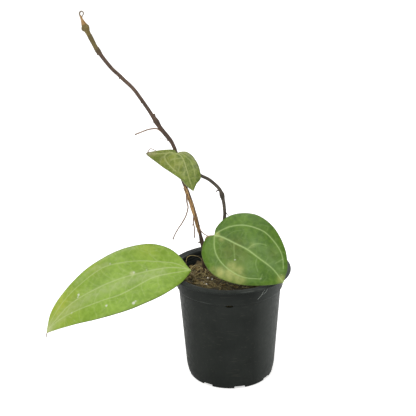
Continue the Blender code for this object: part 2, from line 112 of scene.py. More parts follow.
class Graph:
    """A thin wrapper over a node tree that keeps material code short."""

    def __init__(self, tree: NodeTree) -> None:
        """Keep the tree.

        Args:
            tree: the node tree to build in.
        """
        self.tree = tree

    def node(self, kind: str, **settings: object) -> Node:
        """Add a node and set its properties.

        Args:
            kind: the node's Blender type name.
            settings: properties to set on it.

        Returns:
            The new node.
        """
        made = self.tree.nodes.new(kind)
        for name, value in settings.items():
            setattr(made, name, value)
        return made

    def join(self, source: object, target: Socket) -> None:
        """Feed a socket from another socket, or set it to a plain value.

        Args:
            source: an output socket, a number, a colour or a vector.
            target: the input socket.
        """
        if isinstance(source, Socket):
            self.tree.links.new(source, target)
        elif isinstance(source, tuple) and len(source) == 3 and target.type == "RGBA":
            target.default_value = (*source, 1.0)
        else:
            target.default_value = source

    def texture_point(self) -> Socket:
        """The point on the object, in its own metres."""
        return self.node("ShaderNodeTexCoord").outputs["Object"]

    def attribute(self, name: str) -> Node:
        """Read a mesh attribute.

        Args:
            name: the attribute's name.

        Returns:
            The Attribute node.
        """
        return self.node("ShaderNodeAttribute", attribute_name=name)

    def noise(self, vector: object, scale: float, detail: float, rough: float = 0.55) -> Socket:
        """A noise texture's value.

        Args:
            vector: where to read it.
            scale: cells in a unit.
            detail: octaves.
            rough: strength of each finer octave.

        Returns:
            The Fac output.
        """
        made = self.node("ShaderNodeTexNoise")
        self.join(vector, made.inputs["Vector"])
        made.inputs["Scale"].default_value = scale
        made.inputs["Detail"].default_value = detail
        made.inputs["Roughness"].default_value = rough
        return made.outputs["Fac"]

    def net(self, vector: object, scale: float, width: float) -> Socket:
        """A net of fine lines between cells.

        Args:
            vector: where to read it.
            scale: cells in a unit.
            width: how far the lines fade out, as a share of a cell.

        Returns:
            The mask, 1 on the lines.
        """
        made = self.node("ShaderNodeTexVoronoi", feature="DISTANCE_TO_EDGE")
        self.join(vector, made.inputs["Vector"])
        made.inputs["Scale"].default_value = scale
        return self.span(made.outputs["Distance"], 0.0, width, 1.0, 0.0)

    def span(self, value: object, low: float, high: float, start: float = 0.0,
             end: float = 1.0) -> Socket:
        """Map a value from one range to another, held at both ends.

        Args:
            value: the input.
            low: input that gives start.
            high: input that gives end.
            start: output at low.
            end: output at high.

        Returns:
            The mapped value.
        """
        made = self.node("ShaderNodeMapRange", clamp=True)
        for name, number in (("From Min", low), ("From Max", high), ("To Min", start), ("To Max", end)):
            made.inputs[name].default_value = number
        self.join(value, made.inputs["Value"])
        return made.outputs["Result"]

    def math(self, operation: str, first: object, second: object = 0.0) -> Socket:
        """A Math node.

        Args:
            operation: its operation.
            first: the first value.
            second: the second value.

        Returns:
            The result.
        """
        made = self.node("ShaderNodeMath", operation=operation)
        self.join(first, made.inputs[0])
        self.join(second, made.inputs[1])
        return made.outputs[0]

    def times(self, first: object, second: object) -> Socket:
        """The product of two values."""
        return self.math("MULTIPLY", first, second)

    def plus(self, first: object, second: object) -> Socket:
        """The sum of two values."""
        return self.math("ADD", first, second)

    def blend(self, share: object, first: object, second: object) -> Socket:
        """Mix two colours.

        Args:
            share: how much of the second.
            first: a colour or socket.
            second: a colour or socket.

        Returns:
            The mixed colour.
        """
        made = self.node("ShaderNodeMix", data_type="RGBA")
        self.join(share, made.inputs["Factor"])
        self.join(first, made.inputs[6])
        self.join(second, made.inputs[7])
        return made.outputs[2]

    def relief(self, height: object, strength: float, distance: float) -> Socket:
        """A Bump node's normal.

        Args:
            height: the height value.
            strength: how strong it shows.
            distance: the relief's depth in metres.

        Returns:
            The Normal output.
        """
        made = self.node("ShaderNodeBump")
        made.inputs["Strength"].default_value = strength
        made.inputs["Distance"].default_value = distance
        self.join(height, made.inputs["Height"])
        return made.outputs["Normal"]

    def group(self, tree: NodeTree, **inputs: object) -> Node:
        """Place a shader group and fill its named inputs.

        Args:
            tree: the group's tree.
            inputs: values by input name, with underscores for spaces.

        Returns:
            The group node.
        """
        made = self.node("ShaderNodeGroup", node_tree=tree)
        for name, value in inputs.items():
            self.join(value, made.inputs[name.replace("_", " ")])
        return made


class SharedGroups:
    """The shader groups that several finishes use, each built once."""

    def __init__(self) -> None:
        """Build every shared group."""
        self.mottle = self._mottle()
        self.specks = self._specks()
        self.streaks = self._streaks()

    @staticmethod
    def _start(name: str, inputs: dict[str, tuple[str, float]],
               outputs: dict[str, str]) -> tuple[Graph, Node, Node]:
        """Make a group tree with its sockets.

        Args:
            name: the group's name.
            inputs: socket type and default by input name.
            outputs: socket type by output name.

        Returns:
            The graph, its input node and its output node.
        """
        tree = bpy.data.node_groups.new(name, "ShaderNodeTree")
        for label, (kind, default) in inputs.items():
            socket = tree.interface.new_socket(name=label, in_out="INPUT", socket_type=kind)
            if kind == "NodeSocketFloat":
                socket.default_value = default
        for label, kind in outputs.items():
            tree.interface.new_socket(name=label, in_out="OUTPUT", socket_type=kind)
        graph = Graph(tree)
        return graph, graph.node("NodeGroupInput"), graph.node("NodeGroupOutput")

    def _mottle(self) -> NodeTree:
        """Two sizes of soft blotches.

        Returns:
            The group tree, with Mask and Fine outputs.
        """
        graph, entry, leave = self._start(
            "soft_mottle", {"Vector": ("NodeSocketVector", 0.0), "Scale": ("NodeSocketFloat", 40.0)},
            {"Mask": "NodeSocketFloat", "Fine": "NodeSocketFloat"})
        for label, factor, detail in (("Mask", 1.0, 3.0), ("Fine", 6.5, 5.0)):
            texture = graph.node("ShaderNodeTexNoise")
            texture.inputs["Detail"].default_value = detail
            graph.join(entry.outputs["Vector"], texture.inputs["Vector"])
            graph.join(graph.times(entry.outputs["Scale"], factor), texture.inputs["Scale"])
            graph.join(graph.span(texture.outputs["Fac"], 0.32, 0.68), leave.inputs[label])
        return graph.tree

    def _specks(self) -> NodeTree:
        """Small scattered dots, as of dust or mineral crust.

        Returns:
            The group tree, with a Mask output.
        """
        graph, entry, leave = self._start(
            "scattered_specks", {"Vector": ("NodeSocketVector", 0.0), "Scale": ("NodeSocketFloat", 300.0),
                                 "Amount": ("NodeSocketFloat", 0.5)}, {"Mask": "NodeSocketFloat"})
        dots = graph.node("ShaderNodeTexVoronoi")
        graph.join(entry.outputs["Vector"], dots.inputs["Vector"])
        graph.join(entry.outputs["Scale"], dots.inputs["Scale"])
        near = graph.span(dots.outputs["Distance"], 0.05, 0.22, 1.0, 0.0)
        chosen = graph.node("ShaderNodeSeparateColor")
        graph.join(dots.outputs["Color"], chosen.inputs["Color"])
        kept = graph.math("LESS_THAN", chosen.outputs["Red"], entry.outputs["Amount"])
        graph.join(graph.times(near, kept), leave.inputs["Mask"])
        return graph.tree

    def _streaks(self) -> NodeTree:
        """Long thin streaks along the first axis of the vector given.

        Returns:
            The group tree, with a Mask output.
        """
        graph, entry, leave = self._start(
            "long_streaks", {"Vector": ("NodeSocketVector", 0.0), "Scale": ("NodeSocketFloat", 60.0)},
            {"Mask": "NodeSocketFloat"})
        stretch = graph.node("ShaderNodeMapping")
        stretch.inputs["Scale"].default_value = (0.08, 1.0, 1.0)
        graph.join(entry.outputs["Vector"], stretch.inputs["Vector"])
        texture = graph.node("ShaderNodeTexNoise")
        texture.inputs["Detail"].default_value = 5.0
        graph.join(stretch.outputs["Vector"], texture.inputs["Vector"])
        graph.join(entry.outputs["Scale"], texture.inputs["Scale"])
        graph.join(graph.span(texture.outputs["Fac"], 0.35, 0.65), leave.inputs["Mask"])
        return graph.tree


GROUPS = SharedGroups()


def start_material(name: str) -> tuple[Material, Graph, Node]:
    """Make an empty node material.

    Args:
        name: its name.

    Returns:
        The material, its graph and its Principled shader.
    """
    material = bpy.data.materials.new(name)
    material.use_nodes = True
    return material, Graph(material.node_tree), material.node_tree.nodes["Principled BSDF"]


@dataclass(frozen=True)
class PotPlastic:
    """Thin black moulded plastic with dust, rubbed patches and fine scratches, a painted sheen on its right
    side and painted highlight lines on its rim and collar.
    """

    body: Colour = (0.0192, 0.0222, 0.0198)
    rubbed: Colour = (0.0285, 0.0322, 0.0288)
    dust: Colour = (0.1, 0.095, 0.075)
    # painted highlight: the pale colour of the broken lines along edges of the rim and collar
    edge_highlight: Colour = (0.11, 0.12, 0.11)
    # painted sheen: the pale grey laid over the pot's right side, where the light grazes it
    right_side_sheen: Colour = (0.2, 0.22, 0.205)
    sheen_from: float = 0.018
    sheen_to: float = 0.045
    highlight_heights: tuple[float, ...] = (0.0946, 0.0811)
    rough_low: float = 0.3
    rough_high: float = 0.5

    def material(self) -> Material:
        """Build the material.

        Returns:
            The finished material.
        """
        material, graph, shader = start_material("pot_plastic")
        point = graph.texture_point()
        mottle = graph.group(GROUPS.mottle, Vector=point, Scale=55.0)
        colour = graph.blend(graph.times(mottle.outputs["Mask"], 0.7), self.body, self.rubbed)
        dust = graph.group(GROUPS.specks, Vector=point, Scale=420.0, Amount=0.16)
        film = graph.span(graph.noise(point, 26.0, 3.0), 0.52, 0.8, 0.0, 0.55)
        colour = graph.blend(graph.times(dust.outputs["Mask"], film), colour, self.dust)
        streaks = graph.group(GROUPS.streaks, Vector=point, Scale=700.0)
        scratch = graph.span(streaks.outputs["Mask"], 0.86, 1.0, 0.0, 0.12)
        colour = graph.blend(scratch, colour, self.dust)
        parts = graph.node("ShaderNodeSeparateXYZ")
        graph.join(point, parts.inputs["Vector"])
        patchy = graph.span(graph.noise(point, 60.0, 3.0), 0.45, 0.62, 0.0, 0.5)
        # painted sheen: the colour is lightened towards the pot's right edge, standing in for light grazing
        # it
        painted_right_sheen = graph.span(parts.outputs["X"], self.sheen_from, self.sheen_to, 0.0, 0.32)
        colour = graph.blend(painted_right_sheen, colour, self.right_side_sheen)
        # painted highlight: broken pale lines at two heights on the rim and collar
        for height in self.highlight_heights:
            away = graph.math("ABSOLUTE", graph.math("SUBTRACT", parts.outputs["Z"], height))
            line = graph.times(graph.span(away, 0.0001, 0.0005, 1.0, 0.0), patchy)
            colour = graph.blend(line, colour, self.edge_highlight)
        graph.join(colour, shader.inputs["Base Color"])
        graph.join(graph.span(mottle.outputs["Fine"], 0.0, 1.0, self.rough_low, self.rough_high),
                   shader.inputs["Roughness"])
        height = graph.plus(graph.noise(point, 900.0, 3.0),
                            graph.times(graph.noise(point, 28.0, 2.0), 3.0))
        graph.join(graph.relief(height, 0.25, 0.0002), shader.inputs["Normal"])
        shader.inputs["IOR"].default_value = 1.16
        return material


@dataclass(frozen=True)
class LeafSkin:
    """The waxy skin of one leaf's face, with paler veins, mottling, stains, a pale bloom with painted sheen,
    and a margin colour that is painted shade on rolled edges.
    """

    name: str
    deep: Colour
    light: Colour
    vein: Colour
    stain: Colour = (0.38, 0.33, 0.13)
    warm: Colour = (0.17, 0.16, 0.035)
    # pale grey-green: partly a real bloom on the skin, partly painted sheen and reflection
    sheen_and_bloom: Colour = (0.4, 0.46, 0.25)
    # the margin's colour: on the long and small blades a dark painted shade along their rolled edges
    edge: Colour = (0.2, 0.27, 0.05)
    gloss: float = 0.38
    vein_share: float = 0.8
    net_share: float = 0.07
    mottle_scale: float = 0.09

    def material(self) -> Material:
        """Build the material.

        Returns:
            The finished material.
        """
        material, graph, shader = start_material(self.name)
        point = graph.attribute("blade").outputs["Vector"]
        mottle = graph.group(GROUPS.mottle, Vector=point, Scale=self.mottle_scale)
        tone = graph.plus(graph.times(mottle.outputs["Mask"], 0.55),
                          graph.times(mottle.outputs["Fine"], 0.45))
        tone = graph.span(tone, 0.25, 0.75)
        colour = graph.blend(tone, self.deep, self.light)
        rough = graph.noise(point, 0.28, 5.0)
        # the second mask is partly real bloom, partly painted sheen, reflection and highlights
        for label, tint, low, high in (("warm", self.warm, 0.5, 1.0), ("sheen_and_bloom", self.sheen_and_bloom, 0.45, 1.0),
                                       ("stain", self.stain, 0.62, 1.0)):
            broken = graph.span(rough, 0.34, 0.6, low, high)
            colour = graph.blend(graph.times(graph.attribute(label).outputs["Fac"], broken), colour,
                                 tint)
        net = graph.net(point, 0.17, 0.13)
        net = graph.times(net, graph.span(graph.noise(point, 0.11, 3.0), 0.4, 0.62))
        fine_net = graph.net(point, 0.62, 0.12)
        colour = graph.blend(graph.times(net, self.net_share), colour, self.vein)
        colour = graph.blend(graph.times(fine_net, 0.06), colour, self.light)
        # painted shade: the margin takes the edge colour, darkening the blade where its edge rolls under
        rim = graph.attribute("margin").outputs["Fac"]
        colour = graph.blend(graph.times(rim, 0.75), colour, self.edge)
        vein = graph.attribute("vein").outputs["Fac"]
        colour = graph.blend(graph.times(vein, self.vein_share), colour, self.vein)
        specks = graph.group(GROUPS.specks, Vector=point, Scale=0.5, Amount=0.02)
        pale = graph.math("MAXIMUM", graph.times(specks.outputs["Mask"], 0.3),
                          graph.attribute("speck").outputs["Fac"])
        colour = graph.blend(pale, colour, PALE_SPECK)
        graph.join(colour, shader.inputs["Base Color"])
        graph.join(graph.span(graph.noise(point, 0.4, 5.0), 0.3, 0.7, self.gloss - 0.07, self.gloss + 0.12),
                   shader.inputs["Roughness"])
        height = graph.plus(graph.times(fine_net, -0.5),
                            graph.times(graph.noise(point, 1.6, 3.0), 1.2))
        height = graph.plus(height, graph.times(net, -0.7))
        graph.join(graph.relief(height, 0.35, 0.00016), shader.inputs["Normal"])
        shader.inputs["Specular IOR Level"].default_value = 0.26
        shader.inputs["Coat Weight"].default_value = 0.04
        shader.inputs["Coat Roughness"].default_value = 0.3
        return material


@dataclass(frozen=True)
class Bark:
    """The skin of a stem, with streaks along it and darker rings at its joints."""

    name: str
    dark: Colour
    pale: Colour
    fresh: Colour
    fresh_from: float = 2.0
    roughness: float = 0.62

    def material(self) -> Material:
        """Build the material.

        Returns:
            The finished material.
        """
        material, graph, shader = start_material(self.name)
        along = graph.attribute("along").outputs["Vector"]
        streaks = graph.group(GROUPS.streaks, Vector=along, Scale=1.1)
        mottle = graph.group(GROUPS.mottle, Vector=along, Scale=0.22)
        tone = graph.plus(graph.times(streaks.outputs["Mask"], 0.6),
                          graph.times(mottle.outputs["Mask"], 0.4))
        colour = graph.blend(tone, self.dark, self.pale)
        young = graph.span(graph.attribute("age").outputs["Fac"], self.fresh_from - 0.02,
                           self.fresh_from + 0.02)
        colour = graph.blend(young, colour, self.fresh)
        joint = graph.attribute("joint").outputs["Fac"]
        colour = graph.blend(graph.times(joint, 0.45), colour, self.dark)
        spots = graph.group(GROUPS.specks, Vector=along, Scale=1.3, Amount=0.25)
        colour = graph.blend(graph.times(spots.outputs["Mask"], 0.5), colour, self.pale)
        graph.join(colour, shader.inputs["Base Color"])
        graph.join(graph.span(tone, 0.0, 1.0, self.roughness - 0.1, self.roughness + 0.15),
                   shader.inputs["Roughness"])
        height = graph.plus(streaks.outputs["Mask"], graph.noise(along, 2.2, 4.0))
        graph.join(graph.relief(height, 0.6, 0.00025), shader.inputs["Normal"])
        return material


@dataclass(frozen=True)
class Crumble:
    """A rough broken stuff such as mix, bark chips or perlite."""

    name: str
    dark: Colour
    light: Colour
    fleck: Colour
    grain: float
    fleck_share: float = 0.3
    roughness: float = 0.9

    def material(self) -> Material:
        """Build the material.

        Returns:
            The finished material.
        """
        material, graph, shader = start_material(self.name)
        point = graph.texture_point()
        mottle = graph.group(GROUPS.mottle, Vector=point, Scale=self.grain)
        colour = graph.blend(mottle.outputs["Mask"], self.dark, self.light)
        colour = graph.blend(graph.times(mottle.outputs["Fine"], 0.45), colour, self.dark)
        flecks = graph.group(GROUPS.specks, Vector=point, Scale=self.grain * 3.0, Amount=self.fleck_share)
        colour = graph.blend(graph.times(flecks.outputs["Mask"], 0.8), colour, self.fleck)
        graph.join(colour, shader.inputs["Base Color"])
        graph.join(graph.span(mottle.outputs["Fine"], 0.0, 1.0, self.roughness - 0.12, self.roughness),
                   shader.inputs["Roughness"])
        height = graph.noise(point, self.grain * 5.0, 6.0, 0.7)
        graph.join(graph.relief(height, 0.9, 0.0008), shader.inputs["Normal"])
        return material


@dataclass(frozen=True)
class StudioPaper:
    """The seamless pale ground."""

    colour: Colour = (0.9, 0.9, 0.895)
    lift: float = 0.6

    def material(self) -> Material:
        """Build the material.

        Returns:
            The finished material.
        """
        material, graph, shader = start_material("studio_paper")
        tone = graph.span(graph.noise(graph.texture_point(), 3.0, 2.0), 0.3, 0.7)
        shade = tuple(0.985 * part for part in self.colour)
        graph.join(graph.blend(tone, self.colour, shade), shader.inputs["Base Color"])
        shader.inputs["Roughness"].default_value = 0.9
        shader.inputs["Specular IOR Level"].default_value = 0.1
        seen = graph.node("ShaderNodeLightPath").outputs["Is Camera Ray"]
        shader.inputs["Emission Color"].default_value = (1.0, 0.995, 0.98, 1.0)
        graph.join(graph.span(seen, 0.0, 1.0, 0.0, self.lift), shader.inputs["Emission Strength"])
        return material


# ---------------------------------------------------------------- shared modelling


def smooth_path(points: Sequence[Sequence[float]], steps: int) -> list[Vector]:
    """Catmull-Rom points through the given ones.

    Args:
        points: the knots.
        steps: steps in each span.

    Returns:
        The smooth path, with both ends.
    """
    knots = [Vector(point) for point in points]
    ends = [knots[0] * 2.0 - knots[1]] + knots + [knots[-1] * 2.0 - knots[-2]]
    path = []
    for index in range(len(knots) - 1):
        before, start, end, after = ends[index:index + 4]
        for step in range(steps):
            t = step / steps
            path.append(0.5 * (2.0 * start + (end - before) * t
                               + (2.0 * before - 5.0 * start + 4.0 * end - after) * t ** 2
                               + (3.0 * start - before - 3.0 * end + after) * t ** 3))
    path.append(knots[-1])
    return path


def resampled(points: Sequence[Sequence[float]], count: int) -> list[Vector]:
    """Evenly spaced points along a smooth path.

    Args:
        points: the knots.
        count: how many gaps between the samples.

    Returns:
        count + 1 points.
    """
    path = smooth_path(points, 16)
    travelled = np.concatenate(([0.0], np.cumsum([(b - a).length for a, b in zip(path, path[1:])])))
    wanted = np.linspace(0.0, travelled[-1], count + 1)
    columns = [np.interp(wanted, travelled, [point[axis] for point in path]) for axis in range(3)]
    return [Vector(values) for values in zip(*columns)]


def finish_piece(mesh_data: MeshData, name: str, materials: Sequence[Material], slot: Slot,
                 nodes: Sequence[str], smooth: bool = True) -> Piece:
    """Turn a bmesh in millimetres into a piece on the root body.

    Args:
        mesh_data: the finished mesh, which is freed.
        name: the piece's name.
        materials: its materials, the main one first.
        slot: not used.
        nodes: CAD nodes that it stands for.
        smooth: whether its faces are shaded smooth.

    Returns:
        The new object.
    """
    bmesh.ops.scale(mesh_data, vec=(MM, MM, MM), verts=mesh_data.verts)
    mesh_data.normal_update()
    for face in mesh_data.faces:
        face.smooth = smooth
    mesh = bpy.data.meshes.new(name)
    mesh_data.to_mesh(mesh)
    mesh_data.free()
    for material in materials:
        mesh.materials.append(material)
    piece = bpy.data.objects.new(name, mesh)
    bpy.context.collection.objects.link(piece)
    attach(piece, "root")
    if nodes:
        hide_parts(*nodes)
    LOG.info("%s: %d faces, stands for %s", name, len(mesh.polygons), ", ".join(nodes) or "no node")
    return piece


def turn_outward(mesh_data: MeshData) -> None:
    """Turn every face of a closed mesh outwards."""
    mesh_data.normal_update()
    bmesh.ops.recalc_face_normals(mesh_data, faces=mesh_data.faces)


def close_outward(mesh_data: MeshData, merge: float = 0.001) -> None:
    """Merge doubles and turn every face outwards.

    Args:
        mesh_data: the mesh, in millimetres.
        merge: the merging distance.
    """
    bmesh.ops.remove_doubles(mesh_data, verts=mesh_data.verts, dist=merge)
    turn_outward(mesh_data)


def spin_section(section: Sequence[Flat], steps: int) -> MeshData:
    """Spin a section about the upright axis.

    Args:
        section: (radius, height) points, with both ends on the axis.
        steps: sectors in the full turn.

    Returns:
        The spun mesh.
    """
    mesh_data = bmesh.new()
    verts = [mesh_data.verts.new((radius, 0.0, height)) for radius, height in section]
    edges = [mesh_data.edges.new(pair) for pair in zip(verts, verts[1:])]
    bmesh.ops.spin(mesh_data, geom=verts + edges, cent=(0.0, 0.0, 0.0), axis=(0.0, 0.0, 1.0),
                   angle=FULL_TURN, steps=steps, use_merge=True)
    return mesh_data


@dataclass
class Strand:
    """A round stem or root swept along a path by extruding a circle.

    joints are (share of the length, extra radius, spread) swellings. The mesh keeps three attributes:
    along (distance along, distance round), age (share of the length) and joint (nearness to a swelling).
    """

    points: Sequence[Sequence[float]]
    start_radius: float
    end_radius: float
    sides: int = 12
    spacing: float = 1.2
    joints: Sequence[tuple[float, float, float]] = field(default_factory=tuple)
    wander: float = 0.0
    flutes: float = 0.0
    seed: float = 0.0
    rounded: bool = True

    def radius(self, share: float) -> float:
        """The radius at a share of the length.

        Args:
            share: 0 at the start and 1 at the end.

        Returns:
            The radius in millimetres.
        """
        swell = sum(extra * math.exp(-((share - place) / spread) ** 2)
                    for place, extra, spread in self.joints)
        return self.start_radius + (self.end_radius - self.start_radius) * share + swell

    def sweep(self, mesh_data: MeshData) -> None:
        """Add the strand to a mesh.

        Args:
            mesh_data: the mesh to add to, in millimetres.
        """
        along_layer = mesh_data.verts.layers.float_vector["along"]
        age_layer = mesh_data.verts.layers.float["age"]
        joint_layer = mesh_data.verts.layers.float["joint"]
        rough_path = smooth_path(self.points, 8)
        length = sum((b - a).length for a, b in zip(rough_path, rough_path[1:]))
        count = max(6, int(length / self.spacing))
        path = resampled(self.points, count)
        made = bmesh.ops.create_circle(mesh_data, cap_ends=True, segments=self.sides, radius=1.0)
        ring = made["verts"]
        first_cap = ring[0].link_faces[0]
        side = None
        for index, centre in enumerate(path):
            share = index / count
            tangent = (path[min(index + 1, count)] - path[max(index - 1, 0)]).normalized()
            side = tangent.orthogonal() if side is None else side
            side = (side - tangent * side.dot(tangent)).normalized()
            other = tangent.cross(side)
            if index:
                ring = self._extrude_ring(mesh_data, ring)
            sway = self._sway(share, index * length / count)
            for k, vert in enumerate(ring):
                angle = FULL_TURN * k / self.sides
                radius = self.radius(share) * (1.0 + self.flutes * math.sin(3.0 * angle + index * 0.15))
                radius *= 1.0 + 0.5 * self.flutes * noise.noise(Vector((k * 0.9, index * 0.4, self.seed)))
                vert.co = centre + sway + (side * math.cos(angle) + other * math.sin(angle)) * radius
                vert[along_layer] = Vector((index * length / count, angle * self.radius(share), self.seed))
                vert[age_layer] = share
                vert[joint_layer] = min(1.0, max([math.exp(-((share - place) / spread) ** 2)
                                                  for place, _, spread in self.joints] or [0.0]))
        end_cap = mesh_data.faces.new(ring)
        if self.rounded:
            self._round_cap(mesh_data, end_cap, self.radius(1.0))
            self._round_cap(mesh_data, first_cap, self.radius(0.0))

    def _extrude_ring(self, mesh_data: MeshData,
                      ring: list[Vert]) -> list[Vert]:
        """Extrude a ring's edges, and give the new ring in the same order.

        Args:
            mesh_data: the mesh.
            ring: the verts in order.

        Returns:
            The new ring's verts in order.
        """
        edges = [mesh_data.edges.get((a, b)) for a, b in zip(ring, ring[1:] + ring[:1])]
        made = bmesh.ops.extrude_edge_only(mesh_data, edges=edges)
        fresh = {vert for vert in made["geom"] if isinstance(vert, Vert)}
        following = []
        for vert in ring:
            following.append(next(edge.other_vert(vert) for edge in vert.link_edges
                                  if edge.other_vert(vert) in fresh))
        return following

    def _sway(self, share: float, distance: float) -> Vector:
        """A small sideways wander of the path.

        Args:
            share: the share of the length.
            distance: the distance along in millimetres.

        Returns:
            The shift in millimetres, zero at both ends.
        """
        hold = math.sin(math.pi * share)
        where = Vector((distance * 0.12, self.seed, 0.0))
        return noise.noise_vector(where) * self.wander * hold

    def _round_cap(self, mesh_data: MeshData, cap: bmesh.types.BMFace, radius: float) -> None:
        """Dome an end by insetting its cap.

        Args:
            mesh_data: the mesh.
            cap: the end face.
            radius: the strand's radius there.
        """
        cap.normal_update()
        bmesh.ops.inset_region(mesh_data, faces=[cap], thickness=radius * 0.35, depth=radius * 0.22)
        bmesh.ops.inset_region(mesh_data, faces=[cap], thickness=radius * 0.35, depth=radius * 0.1)


def build_strands(strands: Iterable[Strand], name: str, material: Material, slot: Slot,
                  nodes: Sequence[str]) -> Piece:
    """Sweep some strands into one piece.

    Args:
        strands: the strands.
        name: the piece's name.
        material: its material.
        slot: the record's slot.
        nodes: CAD nodes that it stands for.

    Returns:
        The piece.
    """
    mesh_data = bmesh.new()
    mesh_data.verts.layers.float_vector.new("along")
    mesh_data.verts.layers.float.new("age")
    mesh_data.verts.layers.float.new("joint")
    for strand in strands:
        strand.sweep(mesh_data)
    turn_outward(mesh_data)
    return finish_piece(mesh_data, name, [material], slot, nodes)


def carve(solid: MeshData, cutters: Sequence[MeshData]) -> MeshData:
    """Cut solids out of a solid.

    Args:
        solid: the mesh to cut, which is freed.
        cutters: the meshes to take away, which are freed.

    Returns:
        The cut mesh.
    """
    holders = []
    for mesh_data in (solid, *cutters):
        mesh = bpy.data.meshes.new("carving")
        mesh_data.to_mesh(mesh)
        mesh_data.free()
        holder = bpy.data.objects.new("carving", mesh)
        bpy.context.collection.objects.link(holder)
        holders.append(holder)
    for cutter in holders[1:]:
        boolean = holders[0].modifiers.new("cut", "BOOLEAN")
        boolean.operation = "DIFFERENCE"
        boolean.solver = "EXACT"
        boolean.object = cutter
    cut = bmesh.new()
    cut.from_object(holders[0], bpy.context.evaluated_depsgraph_get())
    for holder in holders:
        mesh = holder.data
        bpy.data.objects.remove(holder, do_unlink=True)
        bpy.data.meshes.remove(mesh)
    return cut


def softened(profile: Sequence[Flat], size: float) -> list[Flat]:
    """Round a profile's corners with small three-point curves.

    Args:
        profile: (radius, height) corners.
        size: how far from each corner its rounding starts.

    Returns:
        The rounded profile.
    """
    corners = [Vector(corner) for corner in profile]
    rounded = [tuple(corners[0])]
    for before, corner, after in zip(corners, corners[1:], corners[2:]):
        reach_in = min(size, 0.45 * (corner - before).length)
        reach_out = min(size, 0.45 * (after - corner).length)
        start = corner + (before - corner).normalized() * reach_in
        end = corner + (after - corner).normalized() * reach_out
        rounded += [tuple(start), tuple(start * 0.25 + corner * 0.5 + end * 0.25), tuple(end)]
    rounded.append(tuple(corners[-1]))
    return rounded


# ---------------------------------------------------------------- pot


